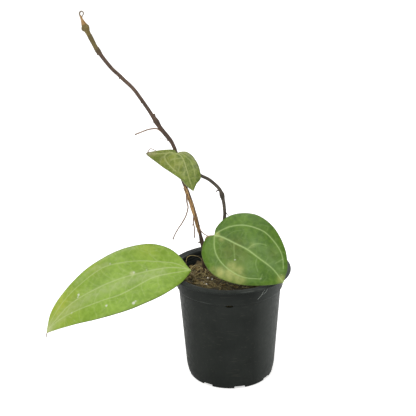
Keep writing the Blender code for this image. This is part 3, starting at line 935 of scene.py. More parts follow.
@dataclass
class NurseryPot:
    """The thin moulded pot, its notched foot, drained floor and the small slot under its collar."""

    finish: PotPlastic = field(default_factory=PotPlastic)
    wall: float = 1.2
    collar_top: float = 45.4
    collar_foot: float = 44.5
    collar_foot_z: float = 81.0
    body_top: float = 42.8
    body_foot: float = 37.7
    body_foot_z: float = 9.0
    base: float = 36.0
    floor_top: float = 3.4
    recess: float = 1.5
    notches: int = 8
    notch_size: Flat = (9.4, 2.2)
    notch_phase: float = math.radians(-79.0)
    slot_size: Place = (6.4, 8.0, 2.0)
    slot_x: float = -1.5
    slot_drop: float = 2.0
    drain_circle: float = 24.0
    drain_radius: float = 3.2
    drain_depth: float = 12.0
    softening: float = 0.35
    segments: int = 144

    def __post_init__(self) -> None:
        """Take the rim's radius and the height from the CAD pot."""
        low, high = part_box("pot")
        self.rim = 0.5 * (high[0] - low[0]) / MM
        self.height = high[2] / MM

    def profile(self) -> list[Flat]:
        """The wall's section, from the middle of the underside round to the middle of the floor.

        Returns:
            (radius, height) pairs with rounded corners.
        """
        under = self.height - 1.8
        inside = self.collar_top - self.wall
        corners = [(0.0, 0.0), (12.0, 0.0), (13.0, self.recess), (30.0, self.recess), (31.0, 0.0),
                   (self.base - 0.6, 0.0), (self.base, 0.7), (self.body_foot - 0.3, self.body_foot_z - 2.0),
                   (self.body_foot, self.body_foot_z), (self.body_top, self.collar_foot_z - 1.2),
                   (self.collar_foot - 0.5, self.collar_foot_z - 0.7), (self.collar_foot, self.collar_foot_z),
                   (self.collar_top, under - 0.8), (self.collar_top + 0.8, under), (self.rim - 0.4, under),
                   (self.rim, under + 0.5), (self.rim, self.height - 0.5), (self.rim - 0.5, self.height),
                   (inside + 2.2, self.height), (inside + 1.6, self.height - 0.5),
                   (inside + 0.7, self.height - 0.5), (inside, self.height - 1.1)]
        corners += self._inner_ridges(inside)
        corners += [(self.collar_foot - self.wall, self.collar_foot_z + 0.6),
                    (self.body_top - self.wall, self.collar_foot_z - 1.0),
                    (self.body_foot - self.wall, self.body_foot_z), (self.base - 2.0, self.floor_top),
                    (0.0, self.floor_top)]
        return softened(corners, self.softening)

    def _inner_ridges(self, inside: float) -> list[Flat]:
        """Shallow moulded steps round the inside of the collar.

        Args:
            inside: the inner radius at the top.

        Returns:
            Their corners, from the top down.
        """
        steps = []
        for level in (3.4, 5.8):
            top = self.height - level
            radius = inside - 0.06 * level
            steps += [(radius, top), (radius + 0.35, top - 0.4), (radius + 0.35, top - 1.0),
                      (radius, top - 1.4)]
        return steps

    def _notch_cutters(self) -> MeshData:
        """Boxes that cut the foot's notches.

        Returns:
            The cutters.
        """
        width, height = self.notch_size
        mesh_data = bmesh.new()
        for index in range(self.notches):
            angle = self.notch_phase + FULL_TURN * index / self.notches
            place = Matrix.Rotation(angle, 4, "Z") @ Matrix.Translation((self.base, 0.0, 0.0))
            size = Matrix.Diagonal((10.0, width, 2.0 * height, 1.0))
            bmesh.ops.create_cube(mesh_data, size=1.0, matrix=place @ size)
        return mesh_data

    def _drain_cutters(self) -> MeshData:
        """Cylinders that cut the floor's drain holes.

        Returns:
            The cutters.
        """
        mesh_data = bmesh.new()
        for index in range(self.notches // 2):
            angle = self.notch_phase + 2.0 * FULL_TURN * index / self.notches
            place = Matrix.Translation((self.drain_circle * math.cos(angle),
                                        self.drain_circle * math.sin(angle), 2.0))
            bmesh.ops.create_cone(mesh_data, cap_ends=True, segments=32, radius1=self.drain_radius,
                                  radius2=self.drain_radius, depth=self.drain_depth, matrix=place)
        return mesh_data

    def _slot_cutter(self) -> MeshData:
        """The oval cylinder that cuts the slot under the collar.

        Returns:
            The cutter.
        """
        length, depth, height = self.slot_size
        mesh_data = bmesh.new()
        place = Matrix.Translation((self.slot_x, -self.body_top, self.collar_foot_z - self.slot_drop))
        size = Matrix.Diagonal((length, depth, height, 1.0))
        bmesh.ops.create_cone(mesh_data, cap_ends=True, segments=32, radius1=0.5, radius2=0.5, depth=1.0,
                              matrix=place @ size @ Matrix.Rotation(0.5 * math.pi, 4, "X"))
        return mesh_data

    def build(self) -> Piece:
        """Spin the wall and cut its openings.

        Returns:
            The pot.
        """
        mesh_data = spin_section(self.profile(), self.segments)
        close_outward(mesh_data)
        mesh_data = carve(mesh_data, [self._notch_cutters(), self._drain_cutters(), self._slot_cutter()])
        piece = finish_piece(mesh_data, "nursery_pot", [self.finish.material()], Slot.POT, ["pot"])
        piece.data.set_sharp_from_angle(angle=SHARP_ANGLE)
        return piece


# ---------------------------------------------------------------- potting mix


@dataclass
class PottingMix:
    """The mix that fills the pot, with bark, coir fibres and perlite lying on it."""

    pot: NurseryPot
    level: float = 88.5
    rise_front: float = 4.2
    drop_left: float = 6.5
    chips: int = 330
    fibres: int = 300
    crumbs: int = 16
    seed: int = 11
    rings: int = 46
    sectors: int = 150
    mark: float = 100.0

    def height(self, x: float, y: float) -> float:
        """Height of the mix's top.

        Args:
            x: across the pot.
            y: front to back.

        Returns:
            The height in millimetres.
        """
        front = 0.5 - 0.5 * math.cos(math.pi * min(max(-y / 42.0, 0.0), 1.0))
        left = min(max((-x - 22.0) / 18.0, 0.0), 1.0)
        where = Vector((x, y, 3.0))
        lumps = noise.noise(where * 0.09) * 1.3
        small = noise.noise(where * 0.33) * 0.9 + noise.noise(where * 0.95) * 0.45
        return self.level + self.rise_front * front - self.drop_left * left * left + lumps + small

    def edge(self, angle: float) -> float:
        """Radius of the mix's shoulder, which is drawn in at the left and back.

        Args:
            angle: direction from the pot's axis.

        Returns:
            The radius in millimetres.
        """
        away = 0.5 - 0.5 * math.cos(angle + math.radians(60.0))
        ragged = 0.9 * noise.noise(Vector((math.cos(angle), math.sin(angle), 0.4)) * 4.0) - 0.6
        return self.pot.collar_foot - self.pot.wall - 0.35 - 3.4 * away ** 2 + ragged

    def build_bed(self, finish: Crumble) -> Piece:
        """The body of the mix, with a lumpy top.

        The top's rings are spun past the radius mark, which tells them apart, and then brought in.

        Args:
            finish: its finish.

        Returns:
            The piece.
        """
        inside = self.pot.body_foot - self.pot.wall - 0.8
        side = [(self.pot.base - 3.0, self.pot.floor_top + 0.4), (inside, self.pot.body_foot_z + 1.0),
                (self.pot.body_top - self.pot.wall - 0.8, self.pot.collar_foot_z - 2.0)]
        shares = [1.0 - step / self.rings for step in range(self.rings + 1)]
        profile = [(0.0, side[0][1])] + side + [(self.mark + share, self.level) for share in shares]
        mesh_data = spin_section(profile, self.sectors)
        for vert in mesh_data.verts:
            share = math.hypot(vert.co.x, vert.co.y) - self.mark
            if share < -1.0:
                continue
            angle = math.atan2(vert.co.y, vert.co.x)
            radius = self.edge(angle) * max(share, 0.0)
            x = radius * math.cos(angle)
            y = radius * math.sin(angle)
            sink = 2.0 * max(0.0, (share - 0.93) / 0.07) ** 2
            vert.co = (x, y, self.height(x, y) - sink)
        close_outward(mesh_data, 0.01)
        return finish_piece(mesh_data, "mix_bed", [finish.material()], Slot.MIX, ["potting_mix"])

    def _spot(self, dice: random.Random, reach: float = 0.95) -> tuple[float, float]:
        """A random place on the mix.

        Args:
            dice: the random source.
            reach: how near to the shoulder it may lie.

        Returns:
            Its x and y.
        """
        angle = dice.uniform(0.0, FULL_TURN)
        radius = self.edge(angle) * reach * math.sqrt(dice.random())
        return radius * math.cos(angle), radius * math.sin(angle)

    def build_chips(self, finish: Crumble) -> Piece:
        """Broken bark lying on the mix.

        Args:
            finish: its finish.

        Returns:
            The piece.
        """
        dice = random.Random(self.seed)
        mesh_data = bmesh.new()
        for _ in range(self.chips):
            x, y = self._spot(dice)
            length = dice.triangular(1.4, 6.5, 2.2)
            size = Vector((length, length * dice.uniform(0.35, 0.8), length * dice.uniform(0.12, 0.4)))
            made = bmesh.ops.create_cube(mesh_data, size=1.0)
            for vert in made["verts"]:
                vert.co = Vector((part * dice.uniform(0.7, 1.15) * extent
                                  for part, extent in zip(vert.co, size)))
            edges = list({edge for vert in made["verts"] for edge in vert.link_edges})
            rounded = bmesh.ops.bevel(mesh_data, geom=edges, offset=0.16 * min(size), offset_type="OFFSET",
                                      segments=1, profile=0.5, affect="EDGES", material=-1)
            turn = (Matrix.Rotation(dice.uniform(0.0, 6.3), 4, "Z")
                    @ Matrix.Rotation(dice.gauss(0.0, 0.35), 4, "X")
                    @ Matrix.Rotation(dice.gauss(0.0, 0.3), 4, "Y"))
            place = Matrix.Translation((x, y, self.height(x, y) + 0.25 * size.z)) @ turn
            bmesh.ops.transform(mesh_data, matrix=place, verts=rounded["verts"])
        turn_outward(mesh_data)
        nodes = [f"bark_chip_{index}" for index in range(1, 6)]
        return finish_piece(mesh_data, "bark_litter", [finish.material()], Slot.BARK, nodes, smooth=False)

    def build_perlite(self, finish: Crumble) -> Piece:
        """White crumbs: the four that stand out, and smaller bits near them.

        Args:
            finish: its finish.

        Returns:
            The piece.
        """
        dice = random.Random(self.seed + 1)
        spots = [(-18.2, -11.5, 0.95), (-14.8, -14.2, 0.9), (-19.3, -29.3, 0.8), (-21.5, -20.0, 0.5)]
        spots += [(*self._spot(dice), dice.uniform(0.3, 0.7)) for _ in range(self.crumbs)]
        mesh_data = bmesh.new()
        for x, y, radius in spots:
            made = bmesh.ops.create_icosphere(mesh_data, subdivisions=2, radius=radius)
            for vert in made["verts"]:
                vert.co *= 1.0 + 0.35 * noise.noise(vert.co * 1.7 / radius + Vector((x, y, 0.0)))
            bmesh.ops.translate(mesh_data, vec=(x, y, self.height(x, y) + 0.5 * radius), verts=made["verts"])
        nodes = [f"perlite_{index}" for index in range(1, 4)]
        return finish_piece(mesh_data, "perlite_crumbs", [finish.material()], Slot.PERLITE, nodes)

    def build_fibres(self, finish: Bark) -> Piece:
        """Coir and root fibres lying on the mix, with a few long pale ones.

        Args:
            finish: their finish.

        Returns:
            The piece.
        """
        dice = random.Random(self.seed + 2)
        strands = []
        for index in range(self.fibres):
            x, y = self._spot(dice, 0.9)
            heading = dice.uniform(0.0, FULL_TURN)
            bend = dice.gauss(0.0, 0.55)
            stride = dice.uniform(0.9, 3.2)
            points = []
            for step in range(5):
                lift = 0.3 + 1.3 * math.sin(math.pi * step / 4.0) * dice.random()
                points.append((x, y, self.height(x, y) + lift))
                heading += bend
                x += stride * math.cos(heading)
                y += stride * math.sin(heading)
            if math.hypot(x, y) < 41.0:
                thick = dice.uniform(0.1, 0.24)
                strands.append(Strand(points, thick, 0.7 * thick, sides=5, spacing=1.3, seed=index,
                                      rounded=False))
        long_ones = ((((-31.8, 4.7), (-29.8, -8.0), (-27.3, -16.5), (-22.0, -20.4)), 1.6),
                     (((-29.0, 2.0), (-24.0, 6.0), (-20.0, 1.0), (-22.0, -8.0)), 2.4),
                     (((-34.0, 10.0), (-31.0, 15.0), (-26.0, 14.0), (-23.0, 9.0)), 2.0),
                     (((-36.0, 6.0), (-33.0, 12.0), (-28.0, 18.0), (-20.0, 19.0)), 1.2),
                     (((-30.0, -4.0), (-25.0, -1.0), (-21.0, -4.0), (-16.0, -12.0)), 1.4))
        for places, lift in long_ones:
            points = [(x, y, self.height(x, y) + 0.6 + lift * math.sin(math.pi * step / 3.0))
                      for step, (x, y) in enumerate(places)]
            strands.append(Strand(points, 0.36, 0.28, sides=8, wander=0.8, seed=lift))
        arch = ((-37.0, 19.0, 88.0), (-36.1, 21.0, 94.1), (-34.0, 22.0, 96.0), (-31.0, 22.0, 96.6),
                (-25.5, 21.0, 95.5),
                (-23.0, 19.5, 93.2), (-22.0, 17.0, 89.0))
        strands.append(Strand(arch, 0.26, 0.2, sides=8, wander=0.5, seed=3.0))
        return build_strands(strands, "mix_fibres", finish.material(), Slot.ROOT,
                             ["surface_fibre_1", "surface_fibre_2"])

    def build_lint(self, finish: Crumble) -> Piece:
        """A forked pale hair stuck to the front of the collar, at the right.

        Args:
            finish: its finish.

        Returns:
            The piece.
        """
        strands = []
        for route in (((-0.905, 91.3), (-0.965, 89.0), (-1.009, 85.9), (-1.08, 83.4)),
                      ((-0.85, 91.2), (-0.9, 88.4), (-0.948, 87.0), (-1.0, 86.9))):
            points = []
            for angle, height in route:
                radius = self.pot.collar_foot + 0.078 * (height - self.pot.collar_foot_z) + 0.1
                points.append((radius * math.cos(angle), radius * math.sin(angle), height))
            strands.append(Strand(points, 0.42, 0.26, sides=6, spacing=0.8, seed=angle))
        return build_strands(strands, "collar_lint", finish.material(), Slot.ROOT, [])


# ---------------------------------------------------------------- leaves


@dataclass(frozen=True)
class Vein:
    """A vein drawn on a blade as flat points, with its half width at the start and the end."""

    points: tuple[Flat, ...]
    start: float
    end: float
    strength: float = 1.0


@dataclass(frozen=True)
class Spot:
    """A round mark on a blade: its place, its radius and how strong it shows."""

    place: Flat
    radius: float
    strength: float


@dataclass
class LeafBlade:
    """One leaf's blade, laid out flat about its base, then placed and bent.

    Flat points are (along, across) in millimetres. left and right are the margins, which share their
    first and last points with the midrib.
    """

    name: str
    node: str
    base: Place
    tip: Place
    up: Place
    rise: float
    cup: float
    midrib: tuple[Flat, ...]
    left: tuple[Flat, ...]
    right: tuple[Flat, ...]
    veins: tuple[Vein, ...]
    stains: tuple[Spot, ...] = ()
    specks: tuple[Spot, ...] = ()
    warmth: tuple[Spot, ...] = ()
    # pale sheen marks: partly real bloom, partly painted sheen, reflection and highlights
    sheens_and_blooms: tuple[Vein, ...] = ()
    rows: int = 150
    columns: int = 44
    ripple: float = 0.7
    thickness: float = 0.75
    roll: float = 0.9

    def __post_init__(self) -> None:
        """Work out the blade's own axes."""
        self.origin = Vector(self.base)
        chord = Vector(self.tip) - self.origin
        self.length = chord.length
        self.along = chord.normalized()
        upward = Vector(self.up)
        self.normal = (upward - self.along * upward.dot(self.along)).normalized()
        self.across = self.normal.cross(self.along)

    def point(self, u: float, v: float, reach: float = 0.0) -> Vector:
        """The place of a flat point on the bent blade.

        Args:
            u: distance along from the base.
            v: distance across from the chord.
            reach: share of the way from midrib to margin.

        Returns:
            The place in millimetres.
        """
        share = min(max(u / self.length, 0.0), 1.0)
        height = self.rise * math.sin(math.pi * share) + self.cup * v * v
        wave = noise.noise(Vector((u * 0.045, v * 0.045, 0.11 * self.length)))
        height += self.ripple * wave * (0.3 + 0.7 * reach * reach) - self.roll * reach ** 7
        return self.origin + self.along * u + self.across * v + self.normal * height

    def build(self, top: LeafSkin, under: LeafSkin) -> Piece:
        """Make the blade.

        Args:
            top: the upper face's finish.
            under: the underside's finish.

        Returns:
            The piece.
        """
        spine = resampled([(u, v, 0.0) for u, v in self.midrib], self.rows)
        margins = [resampled([(u, v, 0.0) for u, v in side], self.rows) for side in (self.left, self.right)]
        mesh_data = bmesh.new()
        layer = mesh_data.verts.layers.float_vector.new("blade")
        bmesh.ops.create_grid(mesh_data, x_segments=self.rows, y_segments=2 * self.columns, size=1.0)
        for vert in mesh_data.verts:
            row = round((vert.co.x + 1.0) * 0.5 * self.rows)
            reach = abs(vert.co.y)
            margin = margins[0] if vert.co.y < 0.0 else margins[1]
            flat = spine[row].lerp(margin[row], reach)
            vert[layer] = Vector((flat.x, flat.y, reach))
            vert.co = self.point(flat.x, flat.y, reach)
        bmesh.ops.remove_doubles(mesh_data, verts=mesh_data.verts, dist=0.02)
        mesh_data.normal_update()
        if sum((face.normal.dot(self.normal) for face in mesh_data.faces)) < 0.0:
            bmesh.ops.reverse_faces(mesh_data, faces=mesh_data.faces)
        piece = finish_piece(mesh_data, self.name, [top.material(), under.material()], Slot.LEAF, [self.node])
        self._mark(piece.data)
        solidify = piece.modifiers.new("thickness", "SOLIDIFY")
        solidify.thickness = self.thickness * MM
        solidify.offset = 0.0
        solidify.material_offset = 1
        solidify.material_offset_rim = 1
        return piece

    def _mark(self, mesh: bpy.types.Mesh) -> None:
        """Write the vein, stain, speck and margin masks, and raise the blade between its veins.

        Args:
            mesh: the blade's sheet.
        """
        count = len(mesh.vertices)
        flat = np.empty(count * 3)
        mesh.attributes["blade"].data.foreach_get("vector", flat)
        flat = flat.reshape(count, 3)
        places = flat[:, :2]
        nearest = np.full(count, 1e3)
        for vein in self.veins:
            if vein.strength > 0.5:
                nearest = np.minimum(nearest, self._distance(places, vein.points)[0])
        mask = self._lines(places, self.veins)
        masks = {"vein": mask, "sheen_and_bloom": self._lines(places, self.sheens_and_blooms),
                 "stain": self._spots(places, self.stains, 1.4),
                 "warm": self._spots(places, self.warmth, 1.0),
                 "speck": self._spots(places, self.specks, 4.0),
                 "margin": np.clip((flat[:, 2] - 0.972) / 0.02, 0.0, 1.0)}
        for label, values in masks.items():
            mesh.attributes.new(label, "FLOAT", "POINT").data.foreach_set("value", values.astype(np.float32))
        held = np.clip((1.0 - flat[:, 2]) * 8.0, 0.0, 1.0)
        swell = 0.45 * (1.0 - np.exp(-nearest / 5.0)) * held - 0.2 * mask
        spots = np.empty(count * 3)
        mesh.vertices.foreach_get("co", spots)
        spots = spots.reshape(count, 3) + np.outer(swell * MM, np.array(self.normal))
        mesh.vertices.foreach_set("co", spots.ravel())
        mesh.update()

    def _lines(self, places: np.ndarray, lines: Sequence[Vein]) -> np.ndarray:
        """A mask of soft lines.

        Args:
            places: flat places, one a row.
            lines: the lines.

        Returns:
            The mask.
        """
        mask = np.zeros(len(places))
        for line in lines:
            distance, share = self._distance(places, line.points)
            width = line.start + (line.end - line.start) * share
            mask = np.maximum(mask, line.strength * np.exp(-(distance / width) ** 2))
        return mask

    @staticmethod
    def _distance(places: np.ndarray, points: Sequence[Flat]) -> tuple[np.ndarray, np.ndarray]:
        """Distance of each place to a smooth line, and the share of the line there.

        Args:
            places: flat places, one a row.
            points: the line's knots.

        Returns:
            Distances and shares.
        """
        line = np.array([point[:2] for point in smooth_path([(u, v, 0.0) for u, v in points], 8)])
        best = np.full(len(places), 1e6)
        share = np.zeros(len(places))
        for index, (start, end) in enumerate(zip(line, line[1:])):
            step = end - start
            along = np.clip(((places - start) @ step) / max(step @ step, 1e-9), 0.0, 1.0)
            distance = np.linalg.norm(places - start - along[:, None] * step, axis=1)
            closer = distance < best
            best[closer] = distance[closer]
            share[closer] = (index + along[closer]) / (len(line) - 1)
        return best, share

    @staticmethod
    def _spots(places: np.ndarray, spots: Sequence[Spot], sharpness: float) -> np.ndarray:
        """A mask of soft round marks.

        Args:
            places: flat places, one a row.
            spots: the marks.
            sharpness: how hard their edges are.

        Returns:
            The mask.
        """
        mask = np.zeros(len(places))
        for spot in spots:
            distance = np.linalg.norm(places - np.array(spot.place), axis=1) / spot.radius
            mask = np.maximum(mask, spot.strength * np.exp(-distance ** (2.0 * sharpness)))
        return mask


def long_leaf() -> LeafBlade:
    """The long blade that reaches out over the rim.

    Returns:
        The blade.
    """
    midrib = ((0, 0), (6, -4.2), (16, -7.8), (33, -10), (55, -11.6), (73, -11.9), (98, -10.6), (116, -4.6),
              (125.4, 0))
    upper = ((1.5, -1.5), (9.7, -9.8), (24.8, -16.4), (37.8, -21), (57.3, -25), (68.1, -24.9), (91, -19.9),
             (106.5, -14.2), (120, -6))
    lower = ((2, -0.6), (8.2, -1.4), (29.5, -3.2), (48.4, 0.4), (60.9, 1.5), (75.6, -0.4), (100.4, -3.2),
             (113.7, -3.4), (123, -1))
    veins = [Vein(midrib, 0.62, 0.45, 0.7), Vein(upper, 0.5, 0.38, 0.62), Vein(lower, 0.55, 0.38, 0.68)]
    for step in range(7):
        start = 14 + 13.5 * step
        veins.append(Vein(((start, -9.5), (start + 7, -15.0), (start + 11, -21.5), (start + 12, -27)), 0.4,
                          0.3,
                          0.24))
        veins.append(Vein(((start + 4, -9.5), (start + 11, -4.0), (start + 14, 3.0), (start + 14, 11)), 0.4,
                          0.3,
                          0.24))
    return LeafBlade(
        "long_leaf_blade", "leaf_long", (-31.7, -22.0, 101.8), (-147.9, -44.0, 60.2), (-0.153, -0.63, 0.761),
        12.0, 0.006, midrib,
        ((0, 0), (2, -6.6), (3.7, -14.2), (7.7, -21.8), (13.4, -27), (21.5, -31), (31, -33), (42, -33.9),
         (54, -33.5), (66, -32.1), (78, -29.9), (92.7, -25.6), (108, -19.2), (117.4, -12.8), (123, -5),
         (125.4, 0)),
        ((0, 0), (8.1, 6.4), (16.5, 10.8), (29.2, 14.8), (41.2, 16.7), (56, 17.3), (70.7, 15.7), (85.3, 12.1),
         (100.2, 7.4), (115.6, 2.7), (125.4, 0)), tuple(veins),
        stains=(Spot((124, -1.5), 5.0, 0.7), Spot((44.1, -12.1), 1.9, 0.8)),
        specks=(Spot((90.3, -14), 0.95, 0.8), Spot((72.2, 6), 0.9, 0.85), Spot((51.5, 13.5), 1.2, 0.85),
                Spot((100.5, -3.1), 0.6, 0.6), Spot((42.8, -12.4), 0.8, 0.6), Spot((32.6, -11.2), 0.6, 0.5),
                Spot((49.5, 12.6), 0.8, 0.6), Spot((57.7, -26), 0.6, 0.4), Spot((91.4, -12.6), 0.6, 0.6)),
        warmth=(Spot((110, -14), 17.0, 0.75), Spot((70, -31), 9.0, 0.4), Spot((26, -29), 9.0, 0.35)),
        # a pale band along the midrib, real bloom with painted sheen, and two painted highlights along the
        # upper margin
        sheens_and_blooms=(Vein(((22, -5.5), (32.4, -6), (51.9, -6.8), (73.5, -7.8), (94.5, -7.5), (111.8, -4.5),
                      (121, -1.5)),
                     4.2, 4.6, 0.52), Vein(((60, -27), (74, -27.5), (90, -23)), 1.6, 1.2, 0.35),
                Vein(((36, -32.3), (48, -33), (66, -31.2)), 1.6, 1.2, 0.5)), rows=210,
        columns=50)


def round_leaf() -> LeafBlade:
    """The round blade in front of the pot.

    Returns:
        The blade.
    """
    midrib = ((0, 0), (5.7, 2.2), (17.9, 3.7), (28.6, 5), (38.7, 4.6), (53.8, 3.9), (66.6, 0))
    veins = (Vein(midrib, 0.8, 0.5, 1.0),
             Vein(((0.3, 0.6), (0.9, 4), (5.2, 11.9), (11.6, 18.4), (19.6, 22.6), (30.8, 25), (40.8, 23.2),
                   (49.3, 20), (55.5, 15.5), (60.5, 9)), 0.65, 0.4, 0.85),
             Vein(((0.3, -0.5), (5.2, -7.3), (11.9, -12.8), (21.9, -16.1), (32.8, -16.2), (41, -14.1),
                   (50.5, -8.5)), 0.66, 0.36, 0.88),
             Vein(((16.6, 3.6), (21.1, -2.3), (25.6, -7.5)), 0.45, 0.3, 0.42),
             Vein(((28.6, 5), (30.1, 10.6), (33.9, 14.5), (38.9, 16.5)), 0.5, 0.4, 0.38),
             Vein(((38.7, 4.6), (40.8, -0.8), (45.7, -4.8)), 0.5, 0.4, 0.34),
             Vein(((53.3, 9), (55.1, 13.2), (55.9, 16)), 0.5, 0.4, 0.36),
             Vein(((8, 3), (11, 11), (17, 17)), 0.4, 0.3, 0.16),
             Vein(((50.8, -8.2), (49.8, -4.6)), 0.5, 0.35, 0.3),
             Vein(((14, -13.8), (15, -19), (19, -23)), 0.4, 0.3, 0.2),
             Vein(((22, 23.4), (25, 28), (31, 31)), 0.4, 0.3, 0.16))
    return LeafBlade(
        "round_leaf_blade", "leaf_round", (-12.2, -16.0, 129.5), (41.0, -42.1, 99.1), (-0.05, -0.799, 0.599),
        3.0, -0.003, midrib,
        ((0, 0), (-3.3, -4.2), (-3.9, -8.8), (-2.2, -14), (0.8, -18.6), (6.5, -22.8), (14.3, -25.9),
         (23, -26.3),
         (33.6, -23.8), (42.5, -19.9), (51.4, -14), (60.4, -6.6), (66.6, 0)),
        ((0, 0), (-2.3, 5.2), (-2.5, 11.5), (-0.9, 18.5), (2.8, 24.6), (9, 30.1), (16.5, 33.7), (24.7, 34.6),
         (34.3, 33.1), (43.5, 29.2), (52, 23.6), (58, 17.8), (63.2, 10.6), (66.6, 0)), veins,
        stains=(Spot((26.8, -14.0), 4.6, 0.7), Spot((33, -13.0), 4.6, 0.62), Spot((29, -19.4), 6.0, 0.92),
                Spot((22, -22.4), 4.8, 0.92), Spot((37, -18.6), 5.5, 0.72), Spot((16, -23.5), 3.0, 0.5),
                Spot((64.2, 1.4), 3.6, 0.6), Spot((1.5, 1.5), 2.2, 0.8), Spot((7, 0.6), 2.4, 0.5),
                Spot((30, 10), 2.6, 0.2)),
        specks=(Spot((25.6, -7.6), 0.6, 0.6), Spot((50.9, -8), 0.5, 0.3), Spot((55.8, 14.6), 0.5, 0.25)),
        warmth=(Spot((19, 2), 7.5, 0.55), Spot((17.5, -6), 7.0, 0.5), Spot((28, -3), 8.0, 0.5),
                Spot((47, 14), 5.0, 0.35)),
        # painted reflection, greyish, over the middle and right of the blade, with faint bloom
        sheens_and_blooms=(Vein(((30, 12), (39, 12), (47, 9), (56, 6)), 6.5, 6.0, 0.46),
                Vein(((36, -3), (44, -9)), 6.5, 5.0, 0.38),
                Vein(((44, 19), (53, 14), (60, 7)), 3.5, 3.5, 0.34),
                Vein(((10, 27), (22, 30)), 4.0, 4.0, 0.12)),
        rows=170, columns=64)


def small_leaf() -> LeafBlade:
    """The small drooping blade high on the vine.

    Returns:
        The blade.
    """
    midrib = ((0, 0), (3.4, 2.5), (8.3, 3.4), (16.2, 2.7), (24, 1.5), (33.2, 0))
    veins = (Vein(midrib, 0.6, 0.4, 0.85),
             Vein(((-0.5, -0.6), (-3.2, -4.9), (-2.4, -9.3), (1.9, -9.9), (8.1, -8.1), (14, -5.6)), 0.55,
                  0.4, 0.85),
             Vein(((-3.2, -4.9), (-5.8, -11.5), (-9, -17.5)), 0.55, 0.4, 0.7),
             Vein(((-2.4, -9.3), (-2.2, -12.5), (0.5, -14.5)), 0.5, 0.35, 0.55),
             Vein(((0.5, 1.5), (4.2, 4.7), (11.1, 7.9), (18.8, 8), (24.1, 6.2)), 0.5, 0.4, 0.45),
             Vein(((8.3, 3.4), (11, -1), (15, -4)), 0.5, 0.35, 0.55),
             Vein(((16.2, 2.7), (19, -1), (23, -2)), 0.45, 0.35, 0.45),
             Vein(((6, 3.2), (4.4, -2), (2.4, -6)), 0.5, 0.35, 0.5))
    return LeafBlade(
        "small_leaf_blade", "leaf_small", (-41.1, -5.0, 195.4), (-28.5, -22.7, 170.3),
        (-0.199, -0.845, 0.497),
        3.0, -0.005, midrib,
        ((0, 0), (-2.9, -0.5), (-4.8, -2.4), (-6.2, -5.2), (-8.2, -9.6), (-10.8, -16.8), (-12.4, -22.6),
         (-7.6, -20.9), (-2.4, -18.1), (4.6, -14.5), (12.3, -9.9), (19.4, -5.7), (23.1, -4.2), (28.5, -2.6),
         (33.2, 0)),
        ((0, 0), (0.2, 3.4), (2.3, 7.4), (5.6, 9.7), (9.4, 11.1), (16.6, 12), (23.3, 10.9), (27.3, 9),
         (29.4, 4.6),
         (33.2, 0)), veins, stains=(Spot((-12, -19.5), 3.6, 0.75), Spot((-8.8, -16.5), 2.5, 0.4)),
        warmth=(Spot((-1, -10), 9.0, 0.55), Spot((-8, -17), 5.0, 0.5), Spot((10, -3), 6.0, 0.45)),
        # a greyish band near the right margin, partly pale bloom, partly painted sheen
        sheens_and_blooms=(Vein(((1, 2), (4, 7), (12, 10.6), (20, 10.6)), 0.9, 0.7, 0.55),), rows=120,
        columns=36, ripple=0.6, roll=1.1)


# ---------------------------------------------------------------- stems and roots


